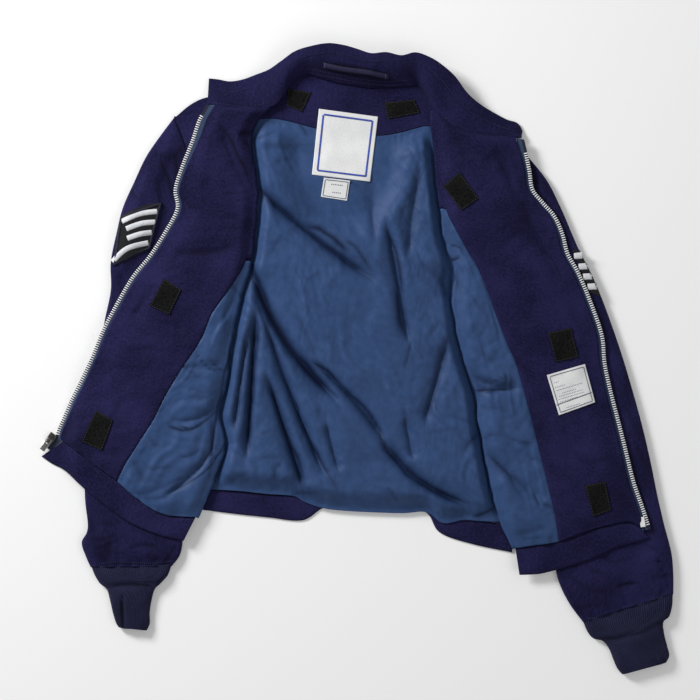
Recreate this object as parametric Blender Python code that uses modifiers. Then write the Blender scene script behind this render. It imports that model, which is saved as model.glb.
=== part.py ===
"""Field jacket laid open on its back. Metres, +Z up, origin under the middle of the layout.

The outline is drawn on a layout grid of 1.2 mm squares, columns to the right and rows down.
Both fronts are turned outward, inside up. Every piece is a cloth wall with its own gap.
"""
import bpy
import math
from collections import namedtuple
from mathutils import Matrix, Vector
from mathutils.bvhtree import BVHTree

# Layout grid
SQUARE = 0.0012          # one square of the layout grid
ORIGIN_COL = 358.5       # grid column at the part's origin
ORIGIN_ROW = 359.5       # grid row at the part's origin

# Cloth walls and gaps
TWILL = 0.0016
LINING = 0.0012
TAPE = 0.0010
BAND = 0.0030            # hem band, folded double
COLLAR = 0.0024
SEAM = 0.0004            # gap at a seam and between layers
TRIM = 0.0010            # labels, pads and patches

# Heights of the layers above the surface
LINING_BASE = TWILL + SEAM
ROLL_Z = 0.0078          # middle of the rolled fold of a front
SHELL_ROLL = 0.0007      # inner radius of the shell's roll
INNER_ROLL = 0.0026      # inner radius of the lining's and facing's roll
FOLD_REACH = 0.0038      # from the roll's middle to the fold's visible edge
FRONT_Z = ROLL_Z + SHELL_ROLL
SLEEVE_HIGH = 0.0080
SLEEVE_WALL = 0.0022
PUFF = 0.0075            # how high the loose back lining stands
FRONT_PUFF = 0.0030      # how high the front linings and facings stand
FLAT_SHARE = 0.45        # share of a front's fullness that no fold presses down
CREASE_LIMIT = 0.0016    # deepest press of a fold into a sleeve's upper wall

# Columns across a front, from the edge that stays on the body to the facing's edge
LINING_CELLS = 5
FACING_CELLS = 6
ROLL_STEPS = 4
ROLL_COLUMNS = 2 + ROLL_STEPS    # columns before the roll ends on the turned part
SEAM_COLUMN = ROLL_COLUMNS - 1 + LINING_CELLS
SEAM_SHARE = 0.5         # share of a section where the facing's seam lies
TAPE_WIDE = 7.5          # grid squares from the facing's edge to the chain
STAY_LEAST = 2.5         # narrowest part that stays under a roll, in grid squares
SINK_START = 7           # grid squares outside the sleeve where a front starts to sink
SINK_END = 28            # grid squares outside the sleeve where it lies on the surface

# Cells of the back's sheets
SHELL_CELLS = (26, 7)
SHOULDER_CELLS = (39, 2)
BACK_LINING_CELLS = (39, 29)
BAND_CELLS = 26

# The lining stays low under the main label
LABEL_AT = (345, 155)
LABEL_TALL = 1.35        # height of the low place for each unit of its width
LABEL_EDGE = (44, 70)    # grid squares from the label's middle where the cloth lifts

NAVY = (0.020, 0.019, 0.062)
BLUE = (0.050, 0.095, 0.220)
SLATE = (0.090, 0.130, 0.210)
KNIT = (0.016, 0.017, 0.036)
BLACK = (0.012, 0.013, 0.011)
WHITE = (0.800, 0.810, 0.840)
STEEL = (0.620, 0.620, 0.600)

Front = namedtuple("Front", "stay_x stay_y fold_x fold_y seam_x seam_y zip_x zip_y")
Edge = namedtuple("Edge", "x y")
Ring = namedtuple("Ring", "left_x left_y right_x right_y")
Stand = namedtuple("Stand", "outer_x outer_y seam_x seam_y outer_mm seam_mm")
Fold = namedtuple("Fold", "x0 y0 x1 y1 x2 y2 deep_mm wide_mm")

# One row for each section across a front, from collar to hem band
LEFT_ROWS = [
    Front(174, 117, 271, 107, 260, 107, 209, 107),
    Front(180, 130, 258, 122, 247, 122, 200, 122),
    Front(186, 146, 252, 141, 240, 141, 193, 142),
    Front(193, 167, 256, 168, 244, 168, 183, 167),
    Front(199, 192, 259, 192, 247, 192, 176, 190),
    Front(204, 215, 258, 212, 246, 212, 178, 209),
    Front(208, 236, 256, 232, 244, 232, 167, 231),
    Front(212, 257, 252, 260, 246, 260, 151, 256),
    Front(211, 286, 243, 290, 230, 289, 134, 277),
    Front(210, 316, 237, 318, 213, 313, 118, 304),
    Front(209, 348, 231, 350, 201, 341, 104, 331),
    Front(207, 381, 226, 385, 181, 371, 93, 358),
    Front(205, 412, 219, 415, 165, 398, 81, 384),
    Front(204, 438, 226, 443, 154, 420, 72, 402),
    Front(204, 464, 219, 468, 138, 445, 64, 419),
    Front(201, 490, 209, 495, 126, 464, 60, 428),
    Front(192, 513, 199, 518, 118, 481, 58, 435),
]
RIGHT_ROWS = [
    Front(526, 151, 430, 113, 442, 117, 522, 140),
    Front(524, 163, 431, 132, 443, 135, 526, 157),
    Front(521, 178, 433, 151, 445, 153, 529, 172),
    Front(517, 195, 435, 170, 447, 173, 532, 190),
    Front(513, 211, 437, 190, 449, 192, 542, 203),
    Front(509.5, 228, 440, 208, 446, 209, 554, 217),
    Front(506, 244, 442, 230, 456, 231, 562, 235),
    Front(502.5, 260, 447, 251, 467, 251, 567, 254),
    Front(500, 278, 453, 270, 478, 270, 577, 272),
    Front(500, 302, 452, 300, 490, 300, 589, 300),
    Front(502, 337, 457, 335, 503, 335, 601, 335),
    Front(504, 366, 464, 364, 515, 363, 604, 364),
    Front(506, 394, 474, 392, 523, 390, 610, 392),
    Front(508, 424, 478, 422, 531, 420, 617, 419),
    Front(510, 456, 484, 454, 539, 452, 625, 451),
    Front(512, 489, 491, 487, 547, 484, 632, 483),
    Front(514, 521, 499, 519, 554, 514, 639, 508),
    Front(517, 547, 512, 549, 558, 541, 645, 530),
]
SPLIT_LEFT = 7           # section where the left lining starts
SPLIT_RIGHT = 5          # section where the right lining starts
SEAM_POINT = {"left": 4, "right": 2}     # where the facing's seam ends in the band's tables

# Hem bands: the upper seam and the lower edge, from the fold outward
LEFT_BAND_TOP = [Edge(199, 518), Edge(174, 516), Edge(156, 510), Edge(138, 498), Edge(118, 481),
                 Edge(99, 467), Edge(83, 455), Edge(72, 447), Edge(63.5, 441)]
LEFT_BAND_LOW = [Edge(184, 540), Edge(165, 536), Edge(145, 529), Edge(125, 519), Edge(105, 504),
                 Edge(85, 488), Edge(67, 471), Edge(52, 463), Edge(42, 456)]
RIGHT_BAND_TOP = [Edge(512, 549), Edge(535, 545), Edge(558, 541), Edge(576, 534), Edge(591, 529),
                  Edge(609, 524), Edge(625, 521), Edge(634, 525), Edge(641, 530)]
RIGHT_BAND_LOW = [Edge(519, 574), Edge(538, 573), Edge(556, 569), Edge(577, 563), Edge(597, 556),
                  Edge(613, 548), Edge(628, 543), Edge(640, 540), Edge(648, 537)]

# Fronts: the upper edge below the collar
LEFT_TOP = [Edge(205, 104.5), Edge(209, 105.2), Edge(219, 107.8), Edge(233, 109.8),
            Edge(249, 109.8), Edge(264, 110), Edge(275, 110.5), Edge(283, 111)]
RIGHT_TOP = [Edge(426, 111), Edge(430, 112.5), Edge(434, 113.5), Edge(442, 120.2),
             Edge(455, 130), Edge(470, 135), Edge(485, 138), Edge(500, 139),
             Edge(512, 139.4), Edge(524, 139.6)]

# Back: neck and shoulder line, facing's lower edge, lining's lower edge, hem band, side edges
BACK_TOP = [Edge(174.5, 118), Edge(205, 98), Edge(262, 97), Edge(284, 92), Edge(296, 80),
            Edge(306, 74), Edge(338, 83), Edge(372, 88), Edge(406, 87), Edge(418, 86),
            Edge(426, 98), Edge(436, 110), Edge(480, 129), Edge(526, 152)]
FACING_LOW = [Edge(181, 128), Edge(206, 124), Edge(236, 120), Edge(271, 119), Edge(290, 122),
              Edge(317, 129), Edge(345, 134), Edge(378, 136), Edge(400, 133), Edge(415, 129), Edge(430, 127),
              Edge(462, 138), Edge(492, 151), Edge(521, 164)]
BACK_LEFT = [Edge(174.5, 118), Edge(186, 146), Edge(199, 192), Edge(212, 257), Edge(210, 316),
             Edge(207, 381), Edge(205, 438), Edge(203, 489)]
BACK_RIGHT = [Edge(526, 152), Edge(517, 195), Edge(509.5, 228), Edge(501.5, 262), Edge(502, 337),
              Edge(506, 394), Edge(511, 470), Edge(513, 526)]
BAND_TOP = [Edge(203, 489), Edge(240, 491), Edge(269, 494), Edge(295, 494), Edge(320, 487),
            Edge(345, 477), Edge(372, 474), Edge(400, 477), Edge(425, 495), Edge(445, 507),
            Edge(480, 519), Edge(513, 526)]
BAND_LOW = [Edge(200, 509), Edge(240, 514), Edge(269, 517), Edge(302, 520), Edge(322, 508),
            Edge(345, 501), Edge(372, 499), Edge(400, 501), Edge(428, 513), Edge(440, 532),
            Edge(470, 543), Edge(512, 552)]
LINING_LOW = [Edge(204, 489), Edge(240, 491), Edge(269, 494), Edge(294, 496), Edge(305, 502),
              Edge(323, 508), Edge(350, 511), Edge(400, 513), Edge(426, 512), Edge(443, 523),
              Edge(463, 520), Edge(481, 521), Edge(498, 522), Edge(512, 524)]

# One row for each section across a sleeve or cuff
LEFT_SLEEVE = [
    Ring(173, 117, 209, 256), Ring(148, 154, 207, 278), Ring(134, 183, 206, 294),
    Ring(123, 208, 205, 308), Ring(117, 232, 203, 325), Ring(111, 262, 201, 345),
    Ring(111, 290, 199, 366), Ring(105, 320, 197, 390), Ring(97, 365, 194, 420),
    Ring(90, 425, 189, 462), Ring(85, 489, 184, 508), Ring(88, 527, 183, 536),
    Ring(82, 542, 182, 548), Ring(86, 556, 179, 557), Ring(91, 567, 172, 566),
]
LEFT_BOWS = (5.0, 2.5)   # how far the first rings of the left sleeve curve into the armhole
RIGHT_SLEEVE = [
    Ring(503, 262, 527, 154), Ring(507, 278, 547, 181), Ring(509, 294, 562, 211),
    Ring(512, 312, 577, 246), Ring(515, 334, 593, 278), Ring(519, 360, 606, 310),
    Ring(524, 390, 621, 353), Ring(530, 424, 633, 393), Ring(536, 456, 643, 430),
    Ring(542, 488, 651, 465), Ring(548, 521, 657, 495), Ring(553, 553, 664, 525),
    Ring(558, 580, 671, 552), Ring(569, 603, 673, 574), Ring(583, 622, 673, 594),
]
LEFT_CUFF = [
    Ring(91.4, 567.5, 171.8, 566.5), Ring(95, 575, 168, 575), Ring(100, 583, 161, 583),
    Ring(107, 589, 155, 589), Ring(110, 599, 152, 599), Ring(113, 612, 150, 612),
    Ring(116, 622, 150, 623), Ring(119, 627, 147, 630),
]
RIGHT_CUFF = [
    Ring(583.3, 622.5, 673, 594.6), Ring(587, 631, 672, 605), Ring(593, 638, 669, 616),
    Ring(603, 641, 663, 622), Ring(609, 649, 664, 634), Ring(613, 659, 667, 646),
    Ring(617, 668, 669, 655), Ring(622, 674, 666, 662),
]

# One row for each section across the collar, with the heights of its two edges
COLLAR_ROWS = [
    Stand(209, 79, 208, 104, 0.5, 6.0), Stand(218, 80, 219, 107, 0.5, 8.6),
    Stand(230, 82, 233, 109, 0.8, 8.6), Stand(243, 80, 249, 109, 2.0, 8.6),
    Stand(257, 75, 264, 108, 6.0, 8.6), Stand(270, 70, 275, 106, 11.0, 8.8),
    Stand(282, 62, 283, 95, 16.0, 8.0), Stand(295, 53, 290, 84, 20.0, 5.5),
    Stand(310, 48, 304, 72.8, 24.0, 3.9), Stand(328, 45, 320, 77.2, 26.0, 3.7),
    Stand(344, 47, 337, 82, 27.0, 3.7), Stand(358, 51, 353, 84.5, 27.0, 3.7),
    Stand(371, 55, 370, 87, 27.0, 3.7), Stand(386, 54, 388, 86.5, 27.0, 3.7),
    Stand(401, 57, 404, 86, 26.0, 3.7), Stand(415, 54, 418, 85, 24.0, 4.0),
    Stand(428, 58, 427, 96, 22.0, 5.5), Stand(440, 65, 434, 108, 20.0, 8.6),
    Stand(454, 77, 442, 119, 17.0, 8.8), Stand(467, 94, 455, 129, 13.0, 8.8),
    Stand(480, 105, 470, 134, 8.0, 8.6), Stand(493, 113, 485, 137, 3.5, 8.6),
    Stand(506, 120, 500, 138, 1.2, 8.6), Stand(517, 124, 512, 138.5, 0.6, 8.4),
    Stand(521, 132, 521, 138.5, 0.5, 6.0),
]

# The largest folds: troughs pressed into the loose lining
BACK_FOLDS = [
    Fold(256, 186, 306, 236, 379, 284, 6.0, 9), Fold(386, 216, 398, 285, 410, 348, 4.5, 8),
    Fold(249, 264, 278, 352, 340, 402, 7.2, 9), Fold(315, 362, 362, 404, 384, 440, 5.0, 7),
    Fold(384, 440, 412, 488, 474, 506, 6.0, 8), Fold(264, 316, 290, 400, 326, 478, 5.0, 7),
    Fold(266, 372, 288, 440, 306, 494, 6.0, 8), Fold(256, 308, 252, 380, 246, 462, 6.0, 7),
    Fold(250, 330, 238, 385, 234, 436, 4.5, 6), Fold(420, 165, 412, 210, 408, 262, 3.0, 10),
    Fold(446, 340, 436, 385, 424, 424, 4.0, 9), Fold(404, 418, 410, 440, 414, 462, 2.5, 8),
    Fold(446, 262, 440, 285, 448, 300, 3.0, 9), Fold(326, 424, 332, 448, 340, 472, 2.5, 6),
    Fold(256, 150, 300, 146, 330, 156, 1.6, 14), Fold(372, 170, 372, 215, 376, 250, 2.0, 9),
]
LEFT_FOLDS = [
    Fold(214, 410, 198, 424, 170, 420, 2.2, 6), Fold(214, 446, 190, 486, 162, 496, 2.6, 6),
    Fold(216, 400, 214, 430, 212, 460, 2.4, 6), Fold(182, 366, 205, 372, 226, 362, 1.6, 7),
    Fold(240, 284, 236, 304, 222, 320, 2.0, 7), Fold(222, 128, 232, 160, 252, 200, 1.6, 9),
    Fold(176, 250, 205, 256, 240, 246, 1.6, 10), Fold(150, 284, 146, 306, 132, 318, 1.4, 8),
    Fold(130, 500, 160, 490, 200, 470, 1.2, 8),
]
RIGHT_FOLDS = [
    Fold(494, 146, 508, 180, 520, 204, 1.8, 9), Fold(520, 204, 540, 245, 562, 284, 1.8, 9),
    Fold(474, 389, 496, 391, 519, 387, 2.4, 5), Fold(488, 450, 520, 486, 546, 500, 1.6, 9),
    Fold(506, 536, 530, 534, 548, 524, 1.6, 7), Fold(446, 216, 452, 244, 474, 262, 1.4, 7),
    Fold(466, 360, 476, 380, 498, 386, 1.8, 8),
]
SLEEVE_FOLDS = [
    Fold(158, 152, 168, 170, 182, 160, 2.2, 12), Fold(160, 176, 170, 190, 176, 205, 1.8, 9),
    Fold(110, 540, 110, 550, 111, 560, 1.5, 6), Fold(130, 545, 145, 547, 165, 545, 1.2, 7),
    Fold(600, 556, 612, 560, 620, 566, 1.4, 8), Fold(616, 584, 628, 583, 642, 582, 1.6, 6),
    Fold(570, 604, 580, 612, 590, 616, 1.4, 7), Fold(533, 172, 536, 192, 548, 206, 1.4, 9),
]
CUFF_FOLDS = [
    Fold(100, 586, 130, 585, 158, 586, 1.6, 7), Fold(123, 592, 125, 610, 125, 628, 2.2, 4),
    Fold(606, 640, 640, 634, 666, 604, 1.6, 7), Fold(636, 646, 650, 650, 660, 656, 0.8, 8),
]

# Pads, labels and patches: four corners each, round the outline
PADS = {
    "pad_neck_left": [(288, 89), (311, 93), (302, 112), (287, 106)],
    "pad_neck_right": [(384, 103), (414, 100), (420, 113), (388, 119)],
    "pad_left_upper": [(165, 279), (182, 290), (170, 315), (151, 306)],
    "pad_left_lower": [(97, 410), (114, 420), (103, 450), (83, 441)],
    "pad_right_upper": [(459, 173), (478, 199), (461, 211), (443, 187)],
    "pad_right_middle": [(547, 333), (570, 328), (577, 357), (555, 362)],
    "pad_right_lower": [(584, 485), (604, 481), (610, 509), (592, 516)],
}
LABELS = {
    "label_main": [(319, 109), (378, 117), (370, 182), (312, 175)],
    "label_care": [(546, 375), (584, 364), (594, 402), (558, 415)],
}
LABEL_SIZE = [(324, 178), (350, 181), (347, 201), (321, 197)]
PATCH_LEFT = [(121, 217), (162, 203), (150, 249), (114, 266)]
PATCH_RIGHT = [(576, 250), (581, 256), (600, 296), (594, 290)]

# Zip metal
SLIDER_AT = (51.0, 438.2)
ZIP_TURN = math.radians(234)      # direction of the closed end of the left zip
SLIDER_LONG = 0.0130
SLIDER_WIDE = 0.0090
SLIDER_HIGH = 0.0046
SLIDER_SLOT = 0.0014
PIVOT_HIGH = 0.0016
TAB_LONG = 0.0170
TAB_WIDE = 0.0066
TAB_THICK = 0.0012
ARCH_WIRE = 0.0009
ARCH_HALF = 0.0034                # from the slider's middle to each foot of its arch
ARCH_RISE = 0.0034                # from the slider's top to the arch's wire
FOOT_LONG = ARCH_WIRE * 1.6
FOOT_WIDE = ARCH_WIRE * 1.8
FOOT_TALL = 0.0040
BAR_LONG = ARCH_HALF * 2 + FOOT_LONG * 1.1
BAR_WIDE = ARCH_WIRE * 2
FOOT_RISE = 0.0014
HINGE_AHEAD = 0.0012              # from the slider's middle to the tab's axis
WINDOW = (0.0062, 0.0026, 0.0040)
WINDOW_AHEAD = 0.0037
SLOT_DEEP = SLIDER_WIDE * 0.4
BOX_SIZE = (0.0052, 0.0070, 0.0036)
PIN_SIZE = (0.0120, 0.0060, 0.0018)
PIN_AT = (641.5, 521.5)
PIN_TURN = math.radians(-80)
SLIDER_ROUND = 0.0006
TAB_ROUND = 0.0003
BOX_ROUND = 0.0005
PIN_ROUND = 0.0004
LOOP = [(324, 65), (388, 76), (387, 80), (323, 69)]


def place(col, row, z=0.0):
    """A point of the layout grid in metres."""
    return Vector(((col - ORIGIN_COL) * SQUARE, (ORIGIN_ROW - row) * SQUARE, z))


def along(rows, t):
    """A smooth row at t sections from the first."""
    last = len(rows) - 1
    t = min(max(t, 0.0), float(last))
    i = min(int(t), last - 1)
    f = t - i
    before, start, end, after = (rows[min(max(i + k, 0), last)] for k in (-1, 0, 1, 2))
    smooth = []
    for a, b, c, d in zip(before, start, end, after):
        bend = (2 * a - 5 * b + 4 * c - d) * f + (3 * b - a - 3 * c + d) * f * f
        smooth.append(b + 0.5 * f * ((c - a) + bend))
    return type(rows[0])(*smooth)


def straight(rows, f):
    """The point at fraction f of a table of edge points, straight between them."""
    t = min(max(f, 0.0), 1.0) * (len(rows) - 1)
    i = min(int(t), len(rows) - 2)
    part = t - i
    return tuple(a + (b - a) * part for a, b in zip(rows[i], rows[i + 1]))


def on_band(side, rows, share):
    """The point of a front band's edge at a share of the front's section."""
    seam = SEAM_POINT[side] / (len(rows) - 1)
    if share <= SEAM_SHARE:
        return straight(rows, seam * share / SEAM_SHARE)
    return straight(rows, seam + (1 - seam) * (share - SEAM_SHARE) / (1 - SEAM_SHARE))


def by_column(rows, col):
    """The grid row of an edge at a grid column, for edges that run across."""
    for a, b in zip(rows, rows[1:]):
        if col <= b.x:
            break
    part = min(max((col - a.x) / (b.x - a.x), 0.0), 1.0)
    return a.y + (b.y - a.y) * part


def ease(value, low, high):
    """Smooth step from 0 at low to 1 at high."""
    f = min(max((value - low) / (high - low), 0.0), 1.0)
    return f * f * (3 - 2 * f)


def curve_of(fold, f):
    """A point on a fold's line."""
    a, b, c = (1 - f) ** 2, 2 * f * (1 - f), f * f
    return a * fold.x0 + b * fold.x1 + c * fold.x2, a * fold.y0 + b * fold.y1 + c * fold.y2


def trough(fold, col, row):
    """Depth in metres of one fold at a point of the grid."""
    steps = 10
    best, best_f = 1e9, 0.0
    for k in range(steps):
        ax, ay = curve_of(fold, k / steps)
        bx, by = curve_of(fold, (k + 1) / steps)
        dx, dy = bx - ax, by - ay
        part = ((col - ax) * dx + (row - ay) * dy) / (dx * dx + dy * dy)
        part = min(max(part, 0.0), 1.0)
        gap = math.hypot(col - ax - dx * part, row - ay - dy * part)
        if gap < best:
            best, best_f = gap, (k + part) / steps
    ends = ease(best_f, -0.05, 0.2) * ease(1 - best_f, -0.05, 0.2)
    return fold.deep_mm * 0.001 * ends * math.exp(-(best / fold.wide_mm) ** 2)


def pressed(folds, col, row):
    """Depth of all the folds together, where the deepest one leads."""
    depths = sorted((trough(fold, col, row) for fold in folds), reverse=True)
    return depths[0] + 0.3 * sum(depths[1:3])


def fold_column(rows, row):
    """The grid column of a front's visible fold at a grid row."""
    for a, b in zip(rows, rows[1:]):
        if row <= b.fold_y:
            break
    part = min(max((row - a.fold_y) / (b.fold_y - a.fold_y), 0.0), 1.0)
    return a.fold_x + (b.fold_x - a.fold_x) * part


def back_height(col, row):
    """Underside of the back lining."""
    inside = min(col - fold_column(LEFT_ROWS, row), fold_column(RIGHT_ROWS, row) - col)
    free = ease(inside, 3, 24)
    free *= ease(row - by_column(FACING_LOW, col), 2, 26)
    free *= ease(by_column(LINING_LOW, col) - row, 2, 22)
    aside, down = col - LABEL_AT[0], (row - LABEL_AT[1]) / LABEL_TALL
    label = ease(math.hypot(aside, down), *LABEL_EDGE)
    loft = (0.2 + 0.8 * label) * free * PUFF
    over_band = (SEAM + BAND - LINING_BASE) * ease(row - by_column(BAND_TOP, col), -14, -4)
    over_band *= ease(inside, 0.5, 6)
    sink = pressed(BACK_FOLDS, col, row) * free
    return LINING_BASE + over_band + max(loft - sink, 0.0)


def beside(rows, col, row, outer):
    """How far a point lies outside a sleeve's outer line, in grid squares."""
    best = 1e9
    for a, b in zip(rows, rows[1:]):
        ax, ay, bx, by = (a.left_x, a.left_y, b.left_x, b.left_y)
        dx, dy = bx - ax, by - ay
        part = min(max(((col - ax) * dx + (row - ay) * dy) / (dx * dx + dy * dy), 0.0), 1.0)
        gap = math.hypot(col - ax - dx * part, row - ay - dy * part)
        if gap < abs(best):
            side = dx * (row - ay) - dy * (col - ax)
            best = math.copysign(gap, side)
    return best * outer


def drop(side, col, row):
    """How far a front sinks below its height on the sleeve, outside that sleeve."""
    if side == "right":
        return 0.0
    outside = beside(LEFT_SLEEVE, col, row, 1.0)
    return FRONT_Z * ease(outside, SINK_START, SINK_END)


def front_loft(side, rows, col, row):
    """How high a front's inside stands over its shell."""
    folds = LEFT_FOLDS if side == "left" else RIGHT_FOLDS
    inside = abs(col - fold_column(rows, row))
    free = ease(inside, 2, 16)
    return max(FRONT_PUFF * FLAT_SHARE * free, (FRONT_PUFF - pressed(folds, col, row)) * free)


def section(side, t):
    """The smooth section of a front at t, bowed where it meets the collar and the hem band."""
    rows = LEFT_ROWS if side == "left" else RIGHT_ROWS
    return along(rows, t)


def bow(side, t, share, col, row):
    """Bends the first and last sections onto the collar's seam and the hem band's seam."""
    rows = LEFT_ROWS if side == "left" else RIGHT_ROWS
    top = LEFT_TOP if side == "left" else RIGHT_TOP
    low = LEFT_BAND_TOP if side == "left" else RIGHT_BAND_TOP
    last = len(rows) - 1
    pull = ease(t, last - 3.2, last)
    end_x, end_y = on_band(side, low, share)
    flat_x, flat_y = across(rows[last], share)
    col += (end_x - flat_x) * pull
    row += (end_y - flat_y) * pull
    start_x, start_y = across(rows[0], share)
    row += (by_column(top, start_x) - start_y) * (1 - ease(t, 0, 2.6))
    return col, row


def across(cut, share):
    """Point on a section: share 0 at the fold, 0.5 at the facing's seam, 1 at the facing's edge."""
    edge_x, edge_y = facing_edge(cut)
    if share <= SEAM_SHARE:
        f = share / SEAM_SHARE
        return cut.fold_x + (cut.seam_x - cut.fold_x) * f, cut.fold_y + (cut.seam_y - cut.fold_y) * f
    f = (share - SEAM_SHARE) / (1 - SEAM_SHARE)
    return cut.seam_x + (edge_x - cut.seam_x) * f, cut.seam_y + (edge_y - cut.seam_y) * f


def facing_edge(cut):
    """Where the facing ends and the zip tape starts."""
    dx, dy = cut.zip_x - cut.seam_x, cut.zip_y - cut.seam_y
    size = math.hypot(dx, dy)
    return cut.zip_x - dx / size * TAPE_WIDE, cut.zip_y - dy / size * TAPE_WIDE


def roll_middle(side, t, fold, out):
    """The middle of the rolled fold at a section, and the way square to the fold."""
    rows = LEFT_ROWS if side == "left" else RIGHT_ROWS
    last = len(rows) - 1
    before, after = section(side, max(t - 0.5, 0)), section(side, min(t + 0.5, last))
    run = Vector((after.fold_x - before.fold_x, after.fold_y - before.fold_y)).normalized()
    way = Vector((-run.y, run.x))
    if way.dot(out) < 0:
        way.negate()
    return fold + way * (FOLD_REACH / SQUARE), way


def front_point(side, t, column, roll, lofted, trim=0.0):
    """Point of a front: columns run from the stay edge, round the roll, to the facing's edge."""
    rows = LEFT_ROWS if side == "left" else RIGHT_ROWS
    cut = section(side, t)
    fold = Vector(bow(side, t, 0.0, cut.fold_x, cut.fold_y))
    first = ROLL_COLUMNS - 1
    out = (Vector((cut.zip_x, cut.zip_y)) - Vector((cut.fold_x, cut.fold_y))).normalized()
    middle, roll_way = roll_middle(side, t, fold, out)
    if column >= first:
        if column <= SEAM_COLUMN:
            share = SEAM_SHARE * (column - first) / LINING_CELLS
        else:
            share = SEAM_SHARE + SEAM_SHARE * (column - SEAM_COLUMN) / FACING_CELLS
        col, row = bow(side, t, share, *across(cut, share))
        blend = max(0.0, 1 - (column - first) / LINING_CELLS)
        col += (middle.x - fold.x) * blend
        row += (middle.y - fold.y) * blend
        col += out.x * trim / SQUARE
        row += out.y * trim / SQUARE
        z = ROLL_Z + roll - drop(side, col, row)
        z += front_loft(side, rows, col, row) if lofted else 0.0
        return place(col, row, z)
    if column >= 1:
        turn = math.pi * (first - column) / ROLL_STEPS
        reach = roll * math.sin(turn) / SQUARE
        spot = middle - roll_way * reach
        return place(spot.x, spot.y, ROLL_Z + roll * math.cos(turn))
    stay = Vector((cut.stay_x, cut.stay_y))
    if (stay - middle).dot(out) < STAY_LEAST:
        stay = middle + out * STAY_LEAST
    return place(stay.x, stay.y, ROLL_Z - roll)


def material(name, color, rough, metallic=0.0):
    """A plain coloured surface."""
    made = bpy.data.materials.new(name)
    made.use_nodes = True
    surface = made.node_tree.nodes["Principled BSDF"]
    surface.inputs["Base Color"].default_value = (*color, 1.0)
    surface.inputs["Roughness"].default_value = rough
    surface.inputs["Metallic"].default_value = metallic
    return made


def new_object(name, verts, faces, color, rough=0.85, metallic=0.0):
    """An object in the jacket's collection from points and faces."""
    mesh = bpy.data.meshes.new(name)
    mesh.from_pydata([tuple(v) for v in verts], [], faces)
    mesh.update()
    mesh.materials.append(material(name, color, rough, metallic))
    obj = bpy.data.objects.new(name, mesh)
    JACKET.objects.link(obj)
    mesh.shade_smooth()
    mesh.set_sharp_from_angle(angle=math.radians(40))
    return obj


def solidify(obj, wall):
    """Gives an open sheet its wall, on the side that its faces look to."""
    made = obj.modifiers.new("wall", "SOLIDIFY")
    made.thickness = wall
    made.offset = 1.0
    made.use_even_offset = True
    return obj


def sheet(name, points, wall, color, keep=None, rough=0.85):
    """A cloth wall on a grid of points, rows by columns, with its outside up."""
    wide = len(points[0])
    faces = []
    for i in range(len(points) - 1):
        for j in range(wide - 1):
            if keep is None or keep(i, j):
                a = i * wide + j
                faces.append((a, a + 1, a + wide + 1, a + wide))
    flat = [p for line in points for p in line]
    used = sorted({k for face in faces for k in face})
    number = {old: new for new, old in enumerate(used)}
    faces = [tuple(number[k] for k in face) for face in faces]
    verts = [flat[k] for k in used]
    turned = sum(facing_up(verts, face) for face in faces)
    if turned < 0:
        faces = [tuple(reversed(face)) for face in faces]
    return solidify(new_object(name, verts, faces, color, rough), wall)


def facing_up(verts, face):
    """Twice the plan area of a face, positive when it looks up."""
    total = 0.0
    for k, here in enumerate(face):
        a, b = verts[here], verts[face[(k + 1) % len(face)]]
        total += a.x * b.y - b.x * a.y
    return total


def coons(top, low, left, right, columns, rows, height):
    """A sheet of points between four edges."""
    points = []
    corner = [top[0], top[-1], low[0], low[-1]]
    for i in range(rows + 1):
        v = i / rows
        line = []
        for j in range(columns + 1):
            u = j / columns
            spot = []
            for k in (0, 1):
                edges = (1 - v) * straight(top, u)[k] + v * straight(low, u)[k]
                sides = (1 - u) * straight(left, v)[k] + u * straight(right, v)[k]
                upper = (1 - u) * corner[0][k] + u * corner[1][k]
                lower = (1 - u) * corner[2][k] + u * corner[3][k]
                spot.append(edges + sides - (1 - v) * upper - v * lower)
            line.append(place(spot[0], spot[1], height(spot[0], spot[1])))
        points.append(line)
    return points


def moved(rows, right, down):
    """A table of edge points, shifted on the grid."""
    return [Edge(r.x + right, r.y + down) for r in rows]


def build_back():
    """Back: flat shell, neck and shoulder facing, loose lining."""
    shell = coons(BACK_TOP, moved(BAND_TOP, 0, -0.4), BACK_LEFT, BACK_RIGHT, *SHELL_CELLS,
                  lambda col, row: 0.0)
    sheet("back_shell", shell, TWILL, NAVY)
    facing_low = moved(FACING_LOW, 0, -0.4)
    facing_left = [BACK_TOP[0], facing_low[0]]
    facing_right = [BACK_TOP[-1], facing_low[-1]]
    facing = coons(BACK_TOP, facing_low, facing_left, facing_right, *SHOULDER_CELLS,
                   lambda col, row: LINING_BASE)
    sheet("shoulder_facing", facing, LINING, NAVY)
    left = [FACING_LOW[0]] + [Edge(e.x + 1, e.y) for e in BACK_LEFT[1:-1]] + [LINING_LOW[0]]
    right = [FACING_LOW[-1]] + [Edge(e.x - 1, e.y) for e in BACK_RIGHT[1:-1]] + [LINING_LOW[-1]]
    lining = coons(FACING_LOW, LINING_LOW, left, right, *BACK_LINING_CELLS, back_height)
    sheet("back_lining", lining, LINING, BLUE, rough=0.45)


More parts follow.
